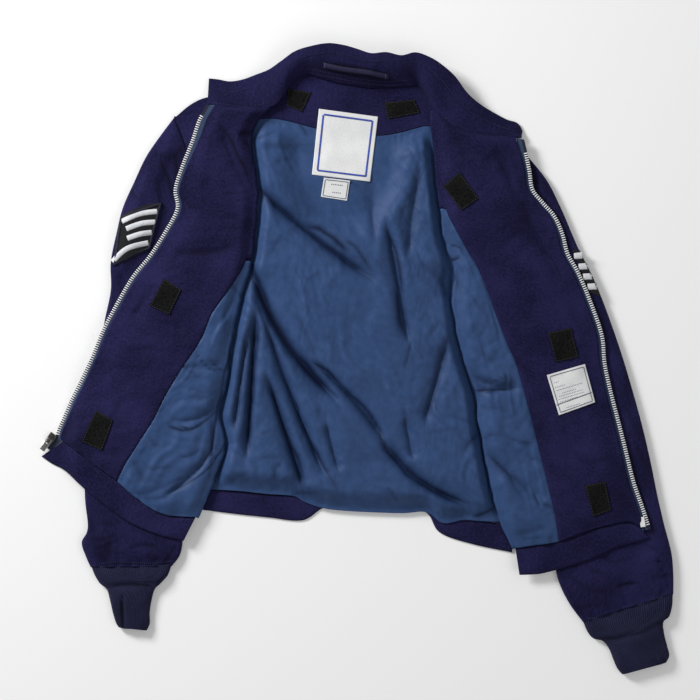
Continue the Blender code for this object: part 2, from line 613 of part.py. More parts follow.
def build_front(side, rows, split):
    """One front: shell, facing and lining round the same roll."""
    last = len(rows) - 1
    columns = SEAM_COLUMN + FACING_CELLS + 1
    shell = [[front_point(side, t, j, SHELL_ROLL, False) for j in range(columns)]
             for t in range(last + 1)]
    front_sheet(side, "shell", shell, TWILL, NAVY)
    inner = [[front_point(side, t, j, INNER_ROLL, True) for j in range(columns)]
             for t in range(last + 1)]
    front_sheet(side, "facing", inner, LINING, NAVY,
                lambda i, j: i < split or j >= SEAM_COLUMN)
    lining = []
    for t in range(split, last + 1):
        shift = 0.06 if t == split else 0.0
        lining.append([front_point(side, t + shift, j, INNER_ROLL, True,
                                   -SEAM * 1.2 * (j == SEAM_COLUMN)) for j in range(SEAM_COLUMN + 1)])
    front_sheet(side, "lining", lining, LINING, BLUE)


def front_sheet(side, kind, points, wall, color, keep=None):
    """A front's wall, whose outside is up on the turned part."""
    wide = len(points[0])
    faces = []
    for i in range(len(points) - 1):
        for j in range(wide - 1):
            if keep is None or keep(i, j):
                a = i * wide + j
                face = (a, a + 1, a + wide + 1, a + wide)
                faces.append(face if side == "left" else tuple(reversed(face)))
    flat = [p for line in points for p in line]
    used = sorted({k for face in faces for k in face})
    number = {old: new for new, old in enumerate(used)}
    faces = [tuple(number[k] for k in face) for face in faces]
    name = "front_" + side + "_" + kind
    solidify(new_object(name, [flat[k] for k in used], faces, color), wall)


def build_band(side, low):
    """A front's hem band, along the front's last section."""
    rows = LEFT_ROWS if side == "left" else RIGHT_ROWS
    t = len(rows) - 1
    first = ROLL_COLUMNS - 1
    columns = LINING_CELLS + FACING_CELLS
    upper, middle, lower = [], [], []
    for j in range(columns + 1):
        top = front_point(side, t, first + j, SHELL_ROLL, False)
        share = SEAM_SHARE * j / LINING_CELLS
        if j > LINING_CELLS:
            share = SEAM_SHARE + SEAM_SHARE * (j - LINING_CELLS) / FACING_CELLS
        col, row = on_band(side, low, share)
        end = place(col, row, FRONT_Z - drop(side, col, row))
        toward = (end - top).normalized()
        start = top + Vector((toward.x, toward.y, 0.0)) * SEAM
        upper.append(start)
        half = start.lerp(end, 0.5)
        half_col = half.x / SQUARE + ORIGIN_COL
        half_row = ORIGIN_ROW - half.y / SQUARE
        half.z = FRONT_Z - drop(side, half_col, half_row)
        middle.append(half)
        lower.append(end)
    sheet("hem_band_" + side, [upper, middle, lower], BAND, NAVY)


def build_back_band():
    """The back's hem band on the surface."""
    points = []
    for f in (0.02, 0.5, 1.0):
        line = []
        for j in range(BAND_CELLS + 1):
            share = j / BAND_CELLS
            top, low = straight(BAND_TOP, share), straight(BAND_LOW, share)
            line.append(place(top[0] + (low[0] - top[0]) * f, top[1] + (low[1] - top[1]) * f))
        points.append(line)
    sheet("hem_band_back", points, BAND, NAVY)


def tube_profile(inset, high):
    """Half-flattened tube section: share across and height, from the lower left corner round."""
    low, top = inset, high - inset
    mid = (low + top) / 2
    below = [(s, low) for s in (0.10, 0.36, 0.64, 0.90)]
    above = [(s, top) for s in (0.92, 0.76, 0.60, 0.44, 0.28, 0.10)]
    return below + [(0.98, low + (mid - low) * 0.45), (1.0, mid)] + above + [
        (0.0, mid), (0.02, low + (mid - low) * 0.45)]


def tube(name, rings, wall, high, folds, color, bows=()):
    """A flattened open tube: outer and inner rings joined at both ends. Bows curve the first rings."""
    outer_shape = tube_profile(0.0, high)
    inner_shape = tube_profile(wall, high)
    count = len(outer_shape)
    verts, faces = [], []
    for shape, inset in ((outer_shape, 0.0), (inner_shape, wall)):
        for place_in, ring in enumerate(rings):
            bend = bows[place_in] if place_in < len(bows) else 0.0
            left = Vector((ring.left_x, ring.left_y))
            right = Vector((ring.right_x, ring.right_y))
            unit = (right - left).normalized()
            a = left + unit * inset / SQUARE
            b = right - unit * inset / SQUARE
            for share, z in shape:
                spot = a.lerp(b, share)
                spot += Vector((unit.y, -unit.x)) * bend * 4 * share * (1 - share)
                if z > high * 0.6:
                    z -= min(pressed(folds, spot.x, spot.y), CREASE_LIMIT)
                verts.append(place(spot.x, spot.y, z))
    span = len(rings) * count
    for i in range(len(rings) - 1):
        for k in range(count):
            a = i * count + k
            b = i * count + (k + 1) % count
            faces.append((a, b, b + count, a + count))
            faces.append(tuple(n + span for n in (a + count, b + count, b, a)))
    for i in (0, len(rings) - 1):
        for k in range(count):
            a = i * count + k
            b = i * count + (k + 1) % count
            rim = (a, a + span, b + span, b)
            faces.append(rim if i == 0 else tuple(reversed(rim)))
    obj = new_object(name, verts, faces, color)
    if volume(obj) < 0:
        obj.data.flip_normals()
    return obj


def volume(obj):
    """Six times the signed volume of a closed mesh."""
    total = 0.0
    for face in obj.data.polygons:
        spots = [obj.data.vertices[k].co for k in face.vertices]
        for k in range(1, len(spots) - 1):
            total += spots[0].dot(spots[k].cross(spots[k + 1]))
    return total


def build_collar():
    """Stand collar: a strip from front to front, its back part leaning up."""
    points = []
    steps = (0.0, 0.34, 0.67, 1.0)
    for row in COLLAR_ROWS:
        line = []
        for f in steps:
            col = row.seam_x + (row.outer_x - row.seam_x) * f
            down = row.seam_y + (row.outer_y - row.seam_y) * f
            rise = f + 0.25 * math.sin(math.pi * f) * (row.outer_mm > row.seam_mm)
            z = (row.seam_mm + (row.outer_mm - row.seam_mm) * rise) * 0.001
            line.append(place(col, down, z))
        points.append(line)
    sheet("collar", points, COLLAR, NAVY)


def evaluated_tree(names):
    """Ray-cast trees of finished pieces."""
    graph = bpy.context.evaluated_depsgraph_get()
    return [BVHTree.FromObject(bpy.data.objects[name], graph) for name in names]


def highest(trees, spot, reach):
    """Top of the pieces below a point and its neighbours."""
    top = None
    for dx in (-reach, 0.0, reach):
        for dy in (-reach, 0.0, reach):
            for tree in trees:
                hit = tree.ray_cast(Vector((spot.x + dx, spot.y + dy, 0.1)), Vector((0, 0, -1)))[0]
                if hit is not None:
                    top = hit.z if top is None else max(top, hit.z)
    return top


def lay_on(name, corners, under, wall, color, cells=3, reach=0.004, rough=0.9):
    """A flat piece laid on finished pieces, a gap above them."""
    trees = evaluated_tree(under)
    points = []
    for i in range(cells + 1):
        line = []
        for j in range(cells + 1):
            u, v = j / cells, i / cells
            a, b, c, d = (place(*corner) for corner in corners)
            spot = a.lerp(b, u).lerp(d.lerp(c, u), v)
            spot.z = highest(trees, spot, reach) + SEAM
            line.append(spot)
        points.append(line)
    sheet(name, points, wall, color, rough=rough)


def build_trim():
    """Pads, labels, patches and the hanger loop, each on the piece it is sewn to."""
    under = {"pad_neck_left": ["shoulder_facing"], "pad_neck_right": ["shoulder_facing"]}
    for name, corners in PADS.items():
        side = "left" if "_left_" in name else "right"
        lay_on(name, corners, under.get(name, ["front_" + side + "_facing"]), TRIM, BLACK)
    lay_on("label_main", LABELS["label_main"], ["shoulder_facing", "back_lining"], TRIM, WHITE, 5)
    lay_on("label_care", LABELS["label_care"], ["front_right_facing"], TRIM, WHITE)
    lay_on("label_size", LABEL_SIZE, ["label_main", "back_lining"], TRIM, WHITE)
    lay_on("sleeve_patch_left", PATCH_LEFT, ["sleeve_left"], TRIM, BLACK, 4)
    lay_on("sleeve_patch_right", PATCH_RIGHT, ["sleeve_right"], TRIM, BLACK, 3, 0.001)
    lay_on("hanger_loop", LOOP, ["collar"], TRIM, NAVY, 4, 0.0008)


def build_tapes():
    """Zip tapes from the facing's edge to the chain."""
    columns = SEAM_COLUMN + FACING_CELLS
    for side, rows in (("left", LEFT_ROWS), ("right", RIGHT_ROWS)):
        points = []
        for t in range(len(rows)):
            edge = front_point(side, t, columns, SHELL_ROLL, False)
            cut = section(side, t)
            end = place(*bow(side, t, 1.0, cut.zip_x, cut.zip_y))
            out = Vector((end.x - edge.x, end.y - edge.y, 0.0)).normalized()
            line = []
            for far in (SEAM * 2.0, TAPE_WIDE * SQUARE):
                spot = edge + out * far
                col, row = spot.x / SQUARE + ORIGIN_COL, ORIGIN_ROW - spot.y / SQUARE
                spot.z = FRONT_Z + TWILL - drop(side, col, row)
                line.append(spot)
            points.append(line)
        sheet("zip_tape_" + side, points, TAPE, SLATE)


def box(name, size, at, turn, color, bevel):
    """A metal block with rounded edges, at its real size."""
    bpy.ops.mesh.primitive_cube_add(size=1.0)
    obj = bpy.context.active_object
    obj.name = name
    obj.data.name = name
    obj.data.transform(Matrix.Diagonal((*size, 1.0)))
    obj.location = at
    obj.rotation_euler = (0, 0, turn)
    obj.data.materials.append(material(name, color, 0.3, 1.0))
    for owner in list(obj.users_collection):
        owner.objects.unlink(obj)
    JACKET.objects.link(obj)
    if bevel:
        edge = obj.modifiers.new("bevel", "BEVEL")
        edge.width = bevel
        edge.segments = 2
    return obj


def cutter(name, size, at, turn):
    """A guide block that only cuts."""
    obj = box(name, size, at, turn, STEEL, 0.0)
    JACKET.objects.unlink(obj)
    CUTTERS.objects.link(obj)
    obj.hide_render = True
    obj.display_type = "WIRE"
    return obj


def boolean(obj, other, kind):
    """Cuts or joins another block."""
    made = obj.modifiers.new(kind.lower(), "BOOLEAN")
    made.operation = kind
    made.object = other


def build_metal():
    """Slider with its arch, pull tab, box and pin at the zip's lower ends."""
    way = Vector((math.cos(ZIP_TURN), math.sin(ZIP_TURN), 0.0))
    across_way = Vector((-way.y, way.x, 0.0))
    at = place(*SLIDER_AT, SLIDER_HIGH / 2)
    body = (SLIDER_LONG, SLIDER_WIDE, SLIDER_HIGH)
    slider = box("zip_slider", body, at, ZIP_TURN, STEEL, SLIDER_ROUND)
    for side in (-1, 1):
        size = (SLIDER_LONG * 1.2, SLOT_DEEP, SLIDER_SLOT)
        spot = at + across_way * side * SLOT_DEEP
        boolean(slider, cutter("slot_" + str(side + 1), size, spot, ZIP_TURN), "DIFFERENCE")
    for far in (-1, 1):
        size = (FOOT_LONG, FOOT_WIDE, FOOT_TALL)
        spot = at + way * far * ARCH_HALF + Vector((0, 0, SLIDER_HIGH / 2 + FOOT_RISE))
        boolean(slider, cutter("arch_foot_" + str(far + 1), size, spot, ZIP_TURN), "UNION")
    spot = at + Vector((0, 0, SLIDER_HIGH / 2 + ARCH_RISE))
    boolean(slider, cutter("arch_bar", (BAR_LONG, BAR_WIDE, ARCH_WIRE), spot, ZIP_TURN), "UNION")
    hinge = place(*SLIDER_AT, SLIDER_HIGH + PIVOT_HIGH) + way * HINGE_AHEAD
    tab_size = (TAB_LONG, TAB_WIDE, TAB_THICK)
    tab = box("zip_pull_tab", tab_size, (0, 0, 0), 0.0, STEEL, TAB_ROUND)
    tab.data.transform(Matrix.Translation((TAB_LONG / 2 - TAB_THICK / 2, 0, 0)))
    tab.location = hinge
    tab.rotation_euler = (0, 0, ZIP_TURN)
    boolean(tab, cutter("tab_window", WINDOW, hinge + way * WINDOW_AHEAD, ZIP_TURN), "DIFFERENCE")
    far = SLIDER_LONG / 2 + BOX_SIZE[0] / 2 + SEAM
    box("zip_box", BOX_SIZE, place(*SLIDER_AT, BOX_SIZE[2] / 2) + way * far, ZIP_TURN, STEEL, BOX_ROUND)
    pin_z = FRONT_Z + TWILL + TAPE + SEAM + PIN_SIZE[2] / 2
    box("zip_pin", PIN_SIZE, place(*PIN_AT, pin_z), PIN_TURN, STEEL, PIN_ROUND)


for old in list(bpy.data.objects):
    bpy.data.objects.remove(old, do_unlink=True)
JACKET = bpy.data.collections.new("field_jacket")
CUTTERS = bpy.data.collections.new("cutters")
bpy.context.scene.collection.children.link(JACKET)
bpy.context.scene.collection.children.link(CUTTERS)

build_back()
build_front("left", LEFT_ROWS, SPLIT_LEFT)
build_front("right", RIGHT_ROWS, SPLIT_RIGHT)
build_band("left", LEFT_BAND_LOW)
build_band("right", RIGHT_BAND_LOW)
build_back_band()
tube("sleeve_left", LEFT_SLEEVE, SLEEVE_WALL, SLEEVE_HIGH, SLEEVE_FOLDS, NAVY, LEFT_BOWS)
tube("sleeve_right", RIGHT_SLEEVE, SLEEVE_WALL, SLEEVE_HIGH, SLEEVE_FOLDS, NAVY)
tube("cuff_left", LEFT_CUFF, SLEEVE_WALL, SLEEVE_HIGH, CUFF_FOLDS, KNIT)
tube("cuff_right", RIGHT_CUFF, SLEEVE_WALL, SLEEVE_HIGH, CUFF_FOLDS, KNIT)
build_collar()
build_tapes()
build_trim()
build_metal()
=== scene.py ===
"""Field jacket laid open on its back: the looks. Metres, +Z up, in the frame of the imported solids.

Cloth is drawn on the layout grid of 1.2 mm squares, columns to the right and rows down.
"""
import math
from collections import namedtuple

import bmesh
import bpy
import numpy as np
from mathutils import Matrix, Vector
from mathutils.bvhtree import BVHTree


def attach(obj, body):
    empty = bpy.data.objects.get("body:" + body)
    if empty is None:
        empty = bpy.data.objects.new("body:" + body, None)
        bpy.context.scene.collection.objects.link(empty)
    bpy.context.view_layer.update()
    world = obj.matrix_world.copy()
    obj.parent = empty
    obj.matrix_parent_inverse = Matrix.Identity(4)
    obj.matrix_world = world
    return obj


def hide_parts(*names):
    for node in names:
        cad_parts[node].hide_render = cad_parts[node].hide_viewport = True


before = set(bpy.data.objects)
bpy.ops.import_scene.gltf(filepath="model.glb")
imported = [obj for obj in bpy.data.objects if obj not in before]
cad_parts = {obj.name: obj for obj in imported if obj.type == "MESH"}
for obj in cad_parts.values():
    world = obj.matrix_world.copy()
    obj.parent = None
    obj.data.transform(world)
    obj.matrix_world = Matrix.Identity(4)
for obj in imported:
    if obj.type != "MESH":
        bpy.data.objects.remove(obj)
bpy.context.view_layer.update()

# Layout grid
SQUARE = 0.0012          # one square of the layout grid
ORIGIN_COL = 358.5       # grid column at the part's origin
ORIGIN_ROW = 359.5       # grid row at the part's origin

# Cloth walls and gaps
TWILL = 0.0016
LINING = 0.0012
TAPE = 0.0010
BAND = 0.0030            # hem band, folded double
COLLAR = 0.0024
SLEEVE_WALL = 0.0015
CUFF_WALL = 0.0018
PAD_WALL = 0.0008
LABEL_WALL = 0.0005
PATCH_WALL = 0.0010
LOOP_WALL = 0.0008
STRIP_WALL = 0.00025     # raised lines of thread
SEAM = 0.0004            # gap at a seam and between layers
LAID_GAP = 0.0002        # gap under pads, labels and patches
LAID_REACH = 0.0025      # how far round a point its support is looked for

# Heights of the layers above the surface
LINING_BASE = TWILL + SEAM
ROLL_Z = 0.0078          # middle of the rolled fold of a front
SHELL_ROLL = 0.0007      # inner radius of the shell's roll
INNER_ROLL = 0.0026      # inner radius of the lining's and facing's roll
FOLD_REACH = 0.0038      # from the roll's middle to the fold's visible edge
FRONT_Z = ROLL_Z + SHELL_ROLL
SLEEVE_HIGH = 0.0080
LOOSE = 0.0135           # how high the back lining's loose cloth stands
PUFF = 0.0075            # height that the depths of the back's folds are measured against
FRONT_LOOSE = 0.0062     # how high the fronts' inner cloth stands
BAND_FULL = 0.0016       # how full the hem bands are
SLEEVE_FULL = 0.0045     # how full the free parts of the sleeves are
CUFF_FULL = 0.0016

# Zip: widths in grid squares, teeth in metres
TAPE_WIDE = 7.5          # from the facing's edge to the chain
TAPE_UNDER = 1.9         # tape under the teeth
TAPE_COVER = {"left": 3.8, "right": 2.9}     # tape that the facing's edge hides
COVERED_FROM = {"left": (0.3, 4.0), "right": (0.0, 2.0)}     # sections over which that starts
TAPE_TAIL = [(50.5, 450.2), (44.5, 445.5)]   # end of the left tape, from the hem band to the slider
TEETH = {"left": (0.045, 0.985), "right": (0.045, 0.985)}    # first and last share of the chain
TOOTH_PITCH = 0.00276
TOOTH_SIZE = (0.0013, 0.0046, 0.0026)
TOOTH_BEVEL = 0.00035

# How finely the pieces are divided
ROLL_CELLS = 10
LINING_CELLS = 46
FACING_CELLS = 38
FRONT_CELLS = 200
BACK_CELLS = (192, 250)
SLEEVE_CELLS = (190, 96)     # along and round
CUFF_CELLS = (46, 352)
CUFF_RIBS = 42
CHAIN_CELLS = 400

# Light and camera
FLOOR_REACH = 4.0
FLOOR_Z = -0.0004
KEY_LIGHT = ((-1.9, 1.5, 1.35), 0.8, 72)     # place, size and power
FILL_LIGHT = ((1.8, -1.0, 2.2), 1.6, 10)
SKY_LIGHT = 0.27
CAMERA_HIGH = 4.0
SENSOR_MM = 36
VIEW_SQUARES = 700       # grid squares across the picture

Front = namedtuple("Front", "stay_x stay_y fold_x fold_y seam_x seam_y zip_x zip_y")
Edge = namedtuple("Edge", "x y")
Ring = namedtuple("Ring", "left_x left_y right_x right_y")
Stand = namedtuple("Stand", "outer_x outer_y seam_x seam_y outer_mm seam_mm")
Fold = namedtuple("Fold", "x0 y0 x1 y1 x2 y2 deep_mm wide_mm")
Stroke = namedtuple("Stroke", "dark wide path")      # a crease, with shade painted along it as strong as dark; a ridge where dark is negative
Stitch = namedtuple("Stitch", "pitch size")


def table(kind, *rows):
    """Rows of numbers under the names of their columns."""
    return [kind(*row) for row in rows]


# One row for each section across a front, from collar to hem band
LEFT_ROWS = table(
    Front,
    (174, 117, 271, 107, 260, 107, 209, 107),
    (180, 130, 258, 122, 247, 122, 200, 122),
    (186, 146, 252, 141, 240, 141, 193, 142),
    (193, 167, 256, 168, 244, 168, 183, 167),
    (199, 192, 259, 192, 247, 192, 176, 190),
    (204, 215, 258, 212, 246, 212, 178, 209),
    (208, 236, 256, 232, 244, 232, 167, 231),
    (212, 257, 252, 260, 246, 260, 151, 256),
    (211, 286, 243, 290, 230, 289, 134, 277),
    (210, 316, 237, 318, 213, 313, 118, 304),
    (209, 348, 231, 350, 201, 341, 104, 331),
    (207, 381, 226, 385, 181, 371, 93, 358),
    (205, 412, 219, 415, 165, 398, 81, 384),
    (204, 438, 226, 443, 154, 420, 72, 402),
    (204, 464, 219, 468, 138, 445, 64, 419),
    (201, 490, 209, 495, 126, 464, 60, 428),
    (192, 513, 199, 518, 118, 481, 58, 435),
)
RIGHT_ROWS = table(
    Front,
    (526, 151, 430, 113, 442, 117, 522, 140),
    (524, 163, 431, 132, 443, 135, 526, 157),
    (521, 178, 433, 151, 445, 153, 529, 172),
    (517, 195, 435, 170, 447, 173, 532, 190),
    (513, 211, 437, 190, 449, 192, 542, 203),
    (509.5, 228, 440, 208, 446, 209, 554, 217),
    (506, 244, 442, 230, 456, 231, 562, 235),
    (502.5, 260, 447, 251, 467, 251, 567, 254),
    (500, 278, 453, 270, 478, 270, 577, 272),
    (500, 302, 452, 300, 490, 300, 589, 300),
    (502, 337, 457, 335, 503, 335, 601, 335),
    (504, 366, 464, 364, 515, 363, 604, 364),
    (506, 394, 474, 392, 523, 390, 610, 392),
    (508, 424, 478, 422, 531, 420, 617, 419),
    (510, 456, 484, 454, 539, 452, 625, 451),
    (512, 489, 491, 487, 547, 484, 632, 483),
    (514, 521, 499, 519, 554, 514, 639, 508),
    (517, 547, 512, 549, 558, 541, 645, 530),
)
SPLIT_LEFT = 7           # section where the left lining starts
SPLIT_RIGHT = 5          # section where the right lining starts
SEAM_POINT = {"left": 4, "right": 2}     # where the facing's seam ends in the band's tables

# Hem bands: the upper seam and the lower edge, from the fold outward
LEFT_BAND_TOP = table(
    Edge,
    (199, 518), (174, 516), (156, 510), (138, 498), (118, 481), (99, 467), (83, 455), (72, 447),
    (63.5, 441),
)
LEFT_BAND_LOW = table(
    Edge,
    (184, 540), (165, 536), (145, 529), (125, 519), (105, 504), (85, 488), (67, 471), (52, 463), (42, 456),
)
RIGHT_BAND_TOP = table(
    Edge,
    (512, 549), (535, 545), (558, 541), (576, 534), (591, 529), (609, 524), (625, 521), (634, 525),
    (641, 530),
)
RIGHT_BAND_LOW = table(
    Edge,
    (519, 574), (538, 573), (556, 569), (577, 563), (597, 556), (613, 548), (628, 543), (640, 540),
    (648, 537),
)

# Fronts: the upper edge below the collar
LEFT_TOP = table(
    Edge,
    (205, 104.5), (209, 105.2), (219, 107.8), (233, 109.8), (249, 109.8), (264, 110), (275, 110.5),
    (283, 111),
)
RIGHT_TOP = table(
    Edge,
    (426, 111), (430, 112.5), (434, 113.5), (442, 120.2), (455, 130), (470, 135), (485, 138), (500, 139),
    (512, 139.4), (524, 139.6),
)

# Back: neck and shoulder line, facing's lower edge, lining's lower edge, hem band, side edges
BACK_TOP = table(
    Edge,
    (174.5, 118), (205, 98), (262, 95.5), (281.5, 89.5), (294, 77), (305, 71), (338, 80), (372, 85),
    (406, 84), (420, 83), (429, 96), (439, 108), (480, 127.5), (526, 152),
)
FACING_LOW = table(
    Edge,
    (181, 128), (206, 124), (236, 120), (271, 119), (290, 122), (317, 129), (345, 134), (378, 136),
    (400, 133), (415, 129), (430, 127), (462, 138), (492, 151), (521, 164),
)
BACK_LEFT = table(
    Edge,
    (174.5, 118), (186, 146), (199, 192), (212, 257), (210, 316), (207, 381), (205, 438), (203, 489),
)
BACK_RIGHT = table(
    Edge,
    (526, 152), (517, 195), (509.5, 228), (501.5, 262), (502, 337), (506, 394), (511, 470), (513, 526),
)
BAND_TOP = table(
    Edge,
    (203, 489), (240, 491), (269, 494), (295, 494), (320, 487), (345, 477), (372, 474), (400, 477),
    (425, 495), (445, 507), (480, 519), (513, 526),
)
BAND_LOW = table(
    Edge,
    (200, 509), (240, 514), (269, 517), (302, 520), (322, 508), (345, 501), (372, 499), (400, 501),
    (428, 513), (440, 532), (470, 543), (512, 552),
)
LINING_LOW = table(
    Edge,
    (204, 489), (240, 491), (269, 494), (294, 496), (305, 502), (323, 508), (350, 511), (400, 513),
    (426, 512), (443, 523), (463, 520), (481, 521), (498, 522), (512, 524),
)

# One row for each section across a sleeve or cuff
LEFT_SLEEVE = table(
    Ring,
    (173, 117, 209, 256), (148, 154, 207, 278), (134, 183, 206, 294), (123, 208, 205, 308),
    (117, 232, 203, 325), (111, 262, 201, 345), (111, 290, 199, 366), (105, 320, 197, 390),
    (97, 365, 194, 420), (90, 425, 189, 462), (85, 489, 184, 508), (88, 527, 183, 536), (82, 542, 182, 548),
    (86, 556, 179, 557), (91, 567, 172, 566),
)
LEFT_BOWS = (5.0, 2.5)   # how far the first rings of the left sleeve curve into the armhole
RIGHT_SLEEVE = table(
    Ring,
    (503, 262, 527, 154), (507, 278, 547, 181), (509, 294, 562, 211), (512, 312, 577, 246),
    (515, 334, 593, 278), (519, 360, 606, 310), (524, 390, 621, 353), (530, 424, 633, 393),
    (536, 456, 643, 430), (542, 488, 651, 465), (548, 521, 657, 495), (553, 553, 664, 525),
    (558, 580, 671, 552), (569, 603, 673, 574), (583, 622, 673, 594),
)
LEFT_CUFF = table(
    Ring,
    (91.4, 567.5, 171.8, 566.5), (95, 575, 168, 575), (100, 583, 161, 583), (107, 589, 155, 589),
    (110, 599, 152, 599), (113, 612, 150, 612), (116, 622, 150, 623), (119, 627, 147, 630),
)
RIGHT_CUFF = table(
    Ring,
    (583.3, 622.5, 673, 594.6), (587, 631, 672, 605), (593, 638, 669, 616), (603, 641, 663, 622),
    (609, 649, 664, 634), (613, 659, 667, 646), (617, 668, 669, 655), (622, 674, 666, 662),
)

# One row for each section across the collar, with the heights of its two edges
COLLAR_ROWS = table(
    Stand,
    (209, 79, 208, 104, 0.5, 6.0), (218, 80, 219, 107, 0.5, 8.6), (230, 82, 233, 109, 0.8, 8.6),
    (243, 80, 249, 109, 2.0, 8.6), (257, 75, 264, 108, 6.0, 8.6), (270, 70, 275, 106, 11.0, 8.8),
    (282, 62, 283, 95, 16.0, 8.0), (295, 53, 290, 84, 20.0, 5.5), (310, 48, 304, 72.8, 24.0, 3.9),
    (328, 45, 320, 77.2, 26.0, 3.7), (344, 47, 337, 82, 27.0, 3.7), (358, 51, 353, 84.5, 27.0, 3.7),
    (371, 55, 370, 87, 27.0, 3.7), (386, 54, 388, 86.5, 27.0, 3.7), (401, 57, 404, 86, 26.0, 3.7),
    (415, 54, 418, 85, 24.0, 4.0), (428, 58, 427, 96, 22.0, 5.5), (440, 65, 434, 108, 20.0, 8.6),
    (454, 77, 442, 119, 17.0, 8.8), (467, 94, 455, 129, 13.0, 8.8), (480, 105, 470, 134, 8.0, 8.6),
    (493, 113, 485, 137, 3.5, 8.6), (506, 120, 500, 138, 1.2, 8.6), (517, 124, 512, 138.5, 0.6, 8.4),
    (521, 132, 521, 138.5, 0.5, 6.0),
)

# The largest folds: troughs pressed into the loose lining
BACK_FOLDS = table(
    Fold,
    (256, 186, 306, 236, 379, 284, 6.0, 9), (386, 216, 398, 285, 410, 348, 4.5, 8),
    (249, 264, 278, 352, 340, 402, 7.2, 9), (315, 362, 362, 404, 384, 440, 5.0, 7),
    (384, 440, 412, 488, 474, 506, 6.0, 8), (264, 316, 290, 400, 326, 478, 5.0, 7),
    (266, 372, 288, 440, 306, 494, 6.0, 8), (256, 308, 252, 380, 246, 462, 6.0, 7),
    (250, 330, 238, 385, 234, 436, 4.5, 6), (420, 165, 412, 210, 408, 262, 3.0, 10),
    (446, 340, 436, 385, 424, 424, 4.0, 9), (404, 418, 410, 440, 414, 462, 2.5, 8),
    (446, 262, 440, 285, 448, 300, 3.0, 9), (326, 424, 332, 448, 340, 472, 2.5, 6),
    (256, 150, 300, 146, 330, 156, 1.6, 14), (372, 170, 372, 215, 376, 250, 2.0, 9),
)
LEFT_FOLDS = table(
    Fold,
    (214, 410, 198, 424, 170, 420, 2.2, 6), (214, 446, 190, 486, 162, 496, 2.6, 6),
    (216, 400, 214, 430, 212, 460, 2.4, 6), (182, 366, 205, 372, 226, 362, 1.6, 7),
    (240, 284, 236, 304, 222, 320, 2.0, 7), (222, 128, 232, 160, 252, 200, 1.6, 9),
    (176, 250, 205, 256, 240, 246, 1.6, 10), (150, 284, 146, 306, 132, 318, 1.4, 8),
    (130, 500, 160, 490, 200, 470, 1.2, 8),
)
RIGHT_FOLDS = table(
    Fold,
    (494, 146, 508, 180, 520, 204, 1.8, 9), (520, 204, 540, 245, 562, 284, 1.8, 9),
    (474, 389, 496, 391, 519, 387, 2.4, 5), (488, 450, 520, 486, 546, 500, 1.6, 9),
    (506, 536, 530, 534, 548, 524, 1.6, 7), (446, 216, 452, 244, 474, 262, 1.4, 7),
    (466, 360, 476, 380, 498, 386, 1.8, 8),
)
SLEEVE_FOLDS = table(
    Fold,
    (158, 152, 168, 170, 182, 160, 2.2, 12), (160, 176, 170, 190, 176, 205, 1.8, 9),
    (110, 540, 110, 550, 111, 560, 1.5, 6), (130, 545, 145, 547, 165, 545, 1.2, 7),
    (600, 556, 612, 560, 620, 566, 1.4, 8), (616, 584, 628, 583, 642, 582, 1.6, 6),
    (570, 604, 580, 612, 590, 616, 1.4, 7), (533, 172, 536, 192, 548, 206, 1.4, 9),
)
CUFF_FOLDS = table(
    Fold,
    (100, 586, 130, 585, 158, 586, 1.6, 7), (123, 592, 125, 610, 125, 628, 2.2, 4),
    (606, 640, 640, 634, 666, 604, 1.6, 7), (636, 646, 650, 650, 660, 656, 0.8, 8),
)

# Pads, labels and patches: four corners each, round the outline
PADS = {
    "pad_neck_left": [(288, 89), (311, 93), (302, 112), (287, 106)],
    "pad_neck_right": [(384, 103), (414, 100), (420, 113), (388, 119)],
    "pad_left_upper": [(165, 279), (182, 290), (170, 315), (151, 306)],
    "pad_left_lower": [(97, 410), (114, 420), (103, 450), (83, 441)],
    "pad_right_upper": [(459, 173), (478, 199), (461, 211), (443, 187)],
    "pad_right_middle": [(547, 333), (570, 328), (577, 357), (555, 362)],
    "pad_right_lower": [(584, 485), (604, 481), (610, 509), (592, 516)],
}
LABELS = {
    "label_main": [(319, 109), (378, 117), (370, 182), (312, 175)],
    "label_care": [(546, 375), (584, 364), (594, 402), (558, 415)],
}
LABEL_SIZE = [(324, 178), (350, 181), (347, 201), (321, 197)]
PATCH_LEFT = [(121, 217), (162, 203), (150, 249), (114, 266)]
PATCH_RIGHT = [(571.5, 250), (579, 250.5), (600.5, 297), (590, 293)]

# White bars on the patches, printed lines on the care label as column, row and length, and size print
BARS_LEFT = [
    [(122, 222), (140, 214.5), (158.5, 211.8)], [(126.5, 229.5), (142, 224), (156.5, 222.5)],
    [(127.5, 239), (141, 234.5), (153, 232.8)], [(112.5, 262.5), (128, 249), (149.5, 243)],
]
BARS_RIGHT = [
    [(573, 256.5), (582.5, 255.5)], [(577.5, 267), (587.5, 266.3)], [(582, 277), (592, 276.5)],
    [(586.5, 287), (597, 286.5)],
]
CARE_ROWS = [
    (553, 383, 5), (554, 387.5, 10), (555.5, 390.5, 26), (561, 393, 14), (558, 396.5, 24),
    (557.5, 399.5, 26), (559, 402, 18), (565, 407.5, 14),
]
CARE_LEAN = 0.3          # how much the printed lines climb
CARE_LINE = [(555, 405), (591, 392)]
SIZE_ROWS = [[(331, 184.5), (343, 185.8)], [(332, 192.5), (341, 193.5)]]

# Hanger loop, its tacks, and the gathers where the sleeves meet the cuffs
LOOP_LINE = [(324, 66.5), (345, 71), (368, 74), (388, 78)]
LOOP_HALF = 2.3          # half its width in grid squares
LOOP_LIFT = 0.0010       # above the collar at its ends
LOOP_BOW = 0.0030        # further up in the middle
LOOP_TACKS = [[(325, 64.6), (324.6, 69.4)], [(385.6, 75.6), (385.2, 79.8)]]
CUFF_SEAMS = {
    "left": [(92, 565.5), (117, 561.5), (147, 563), (176, 560.5)],
    "right": [(585.5, 620), (639, 604.5), (672, 589)],
}

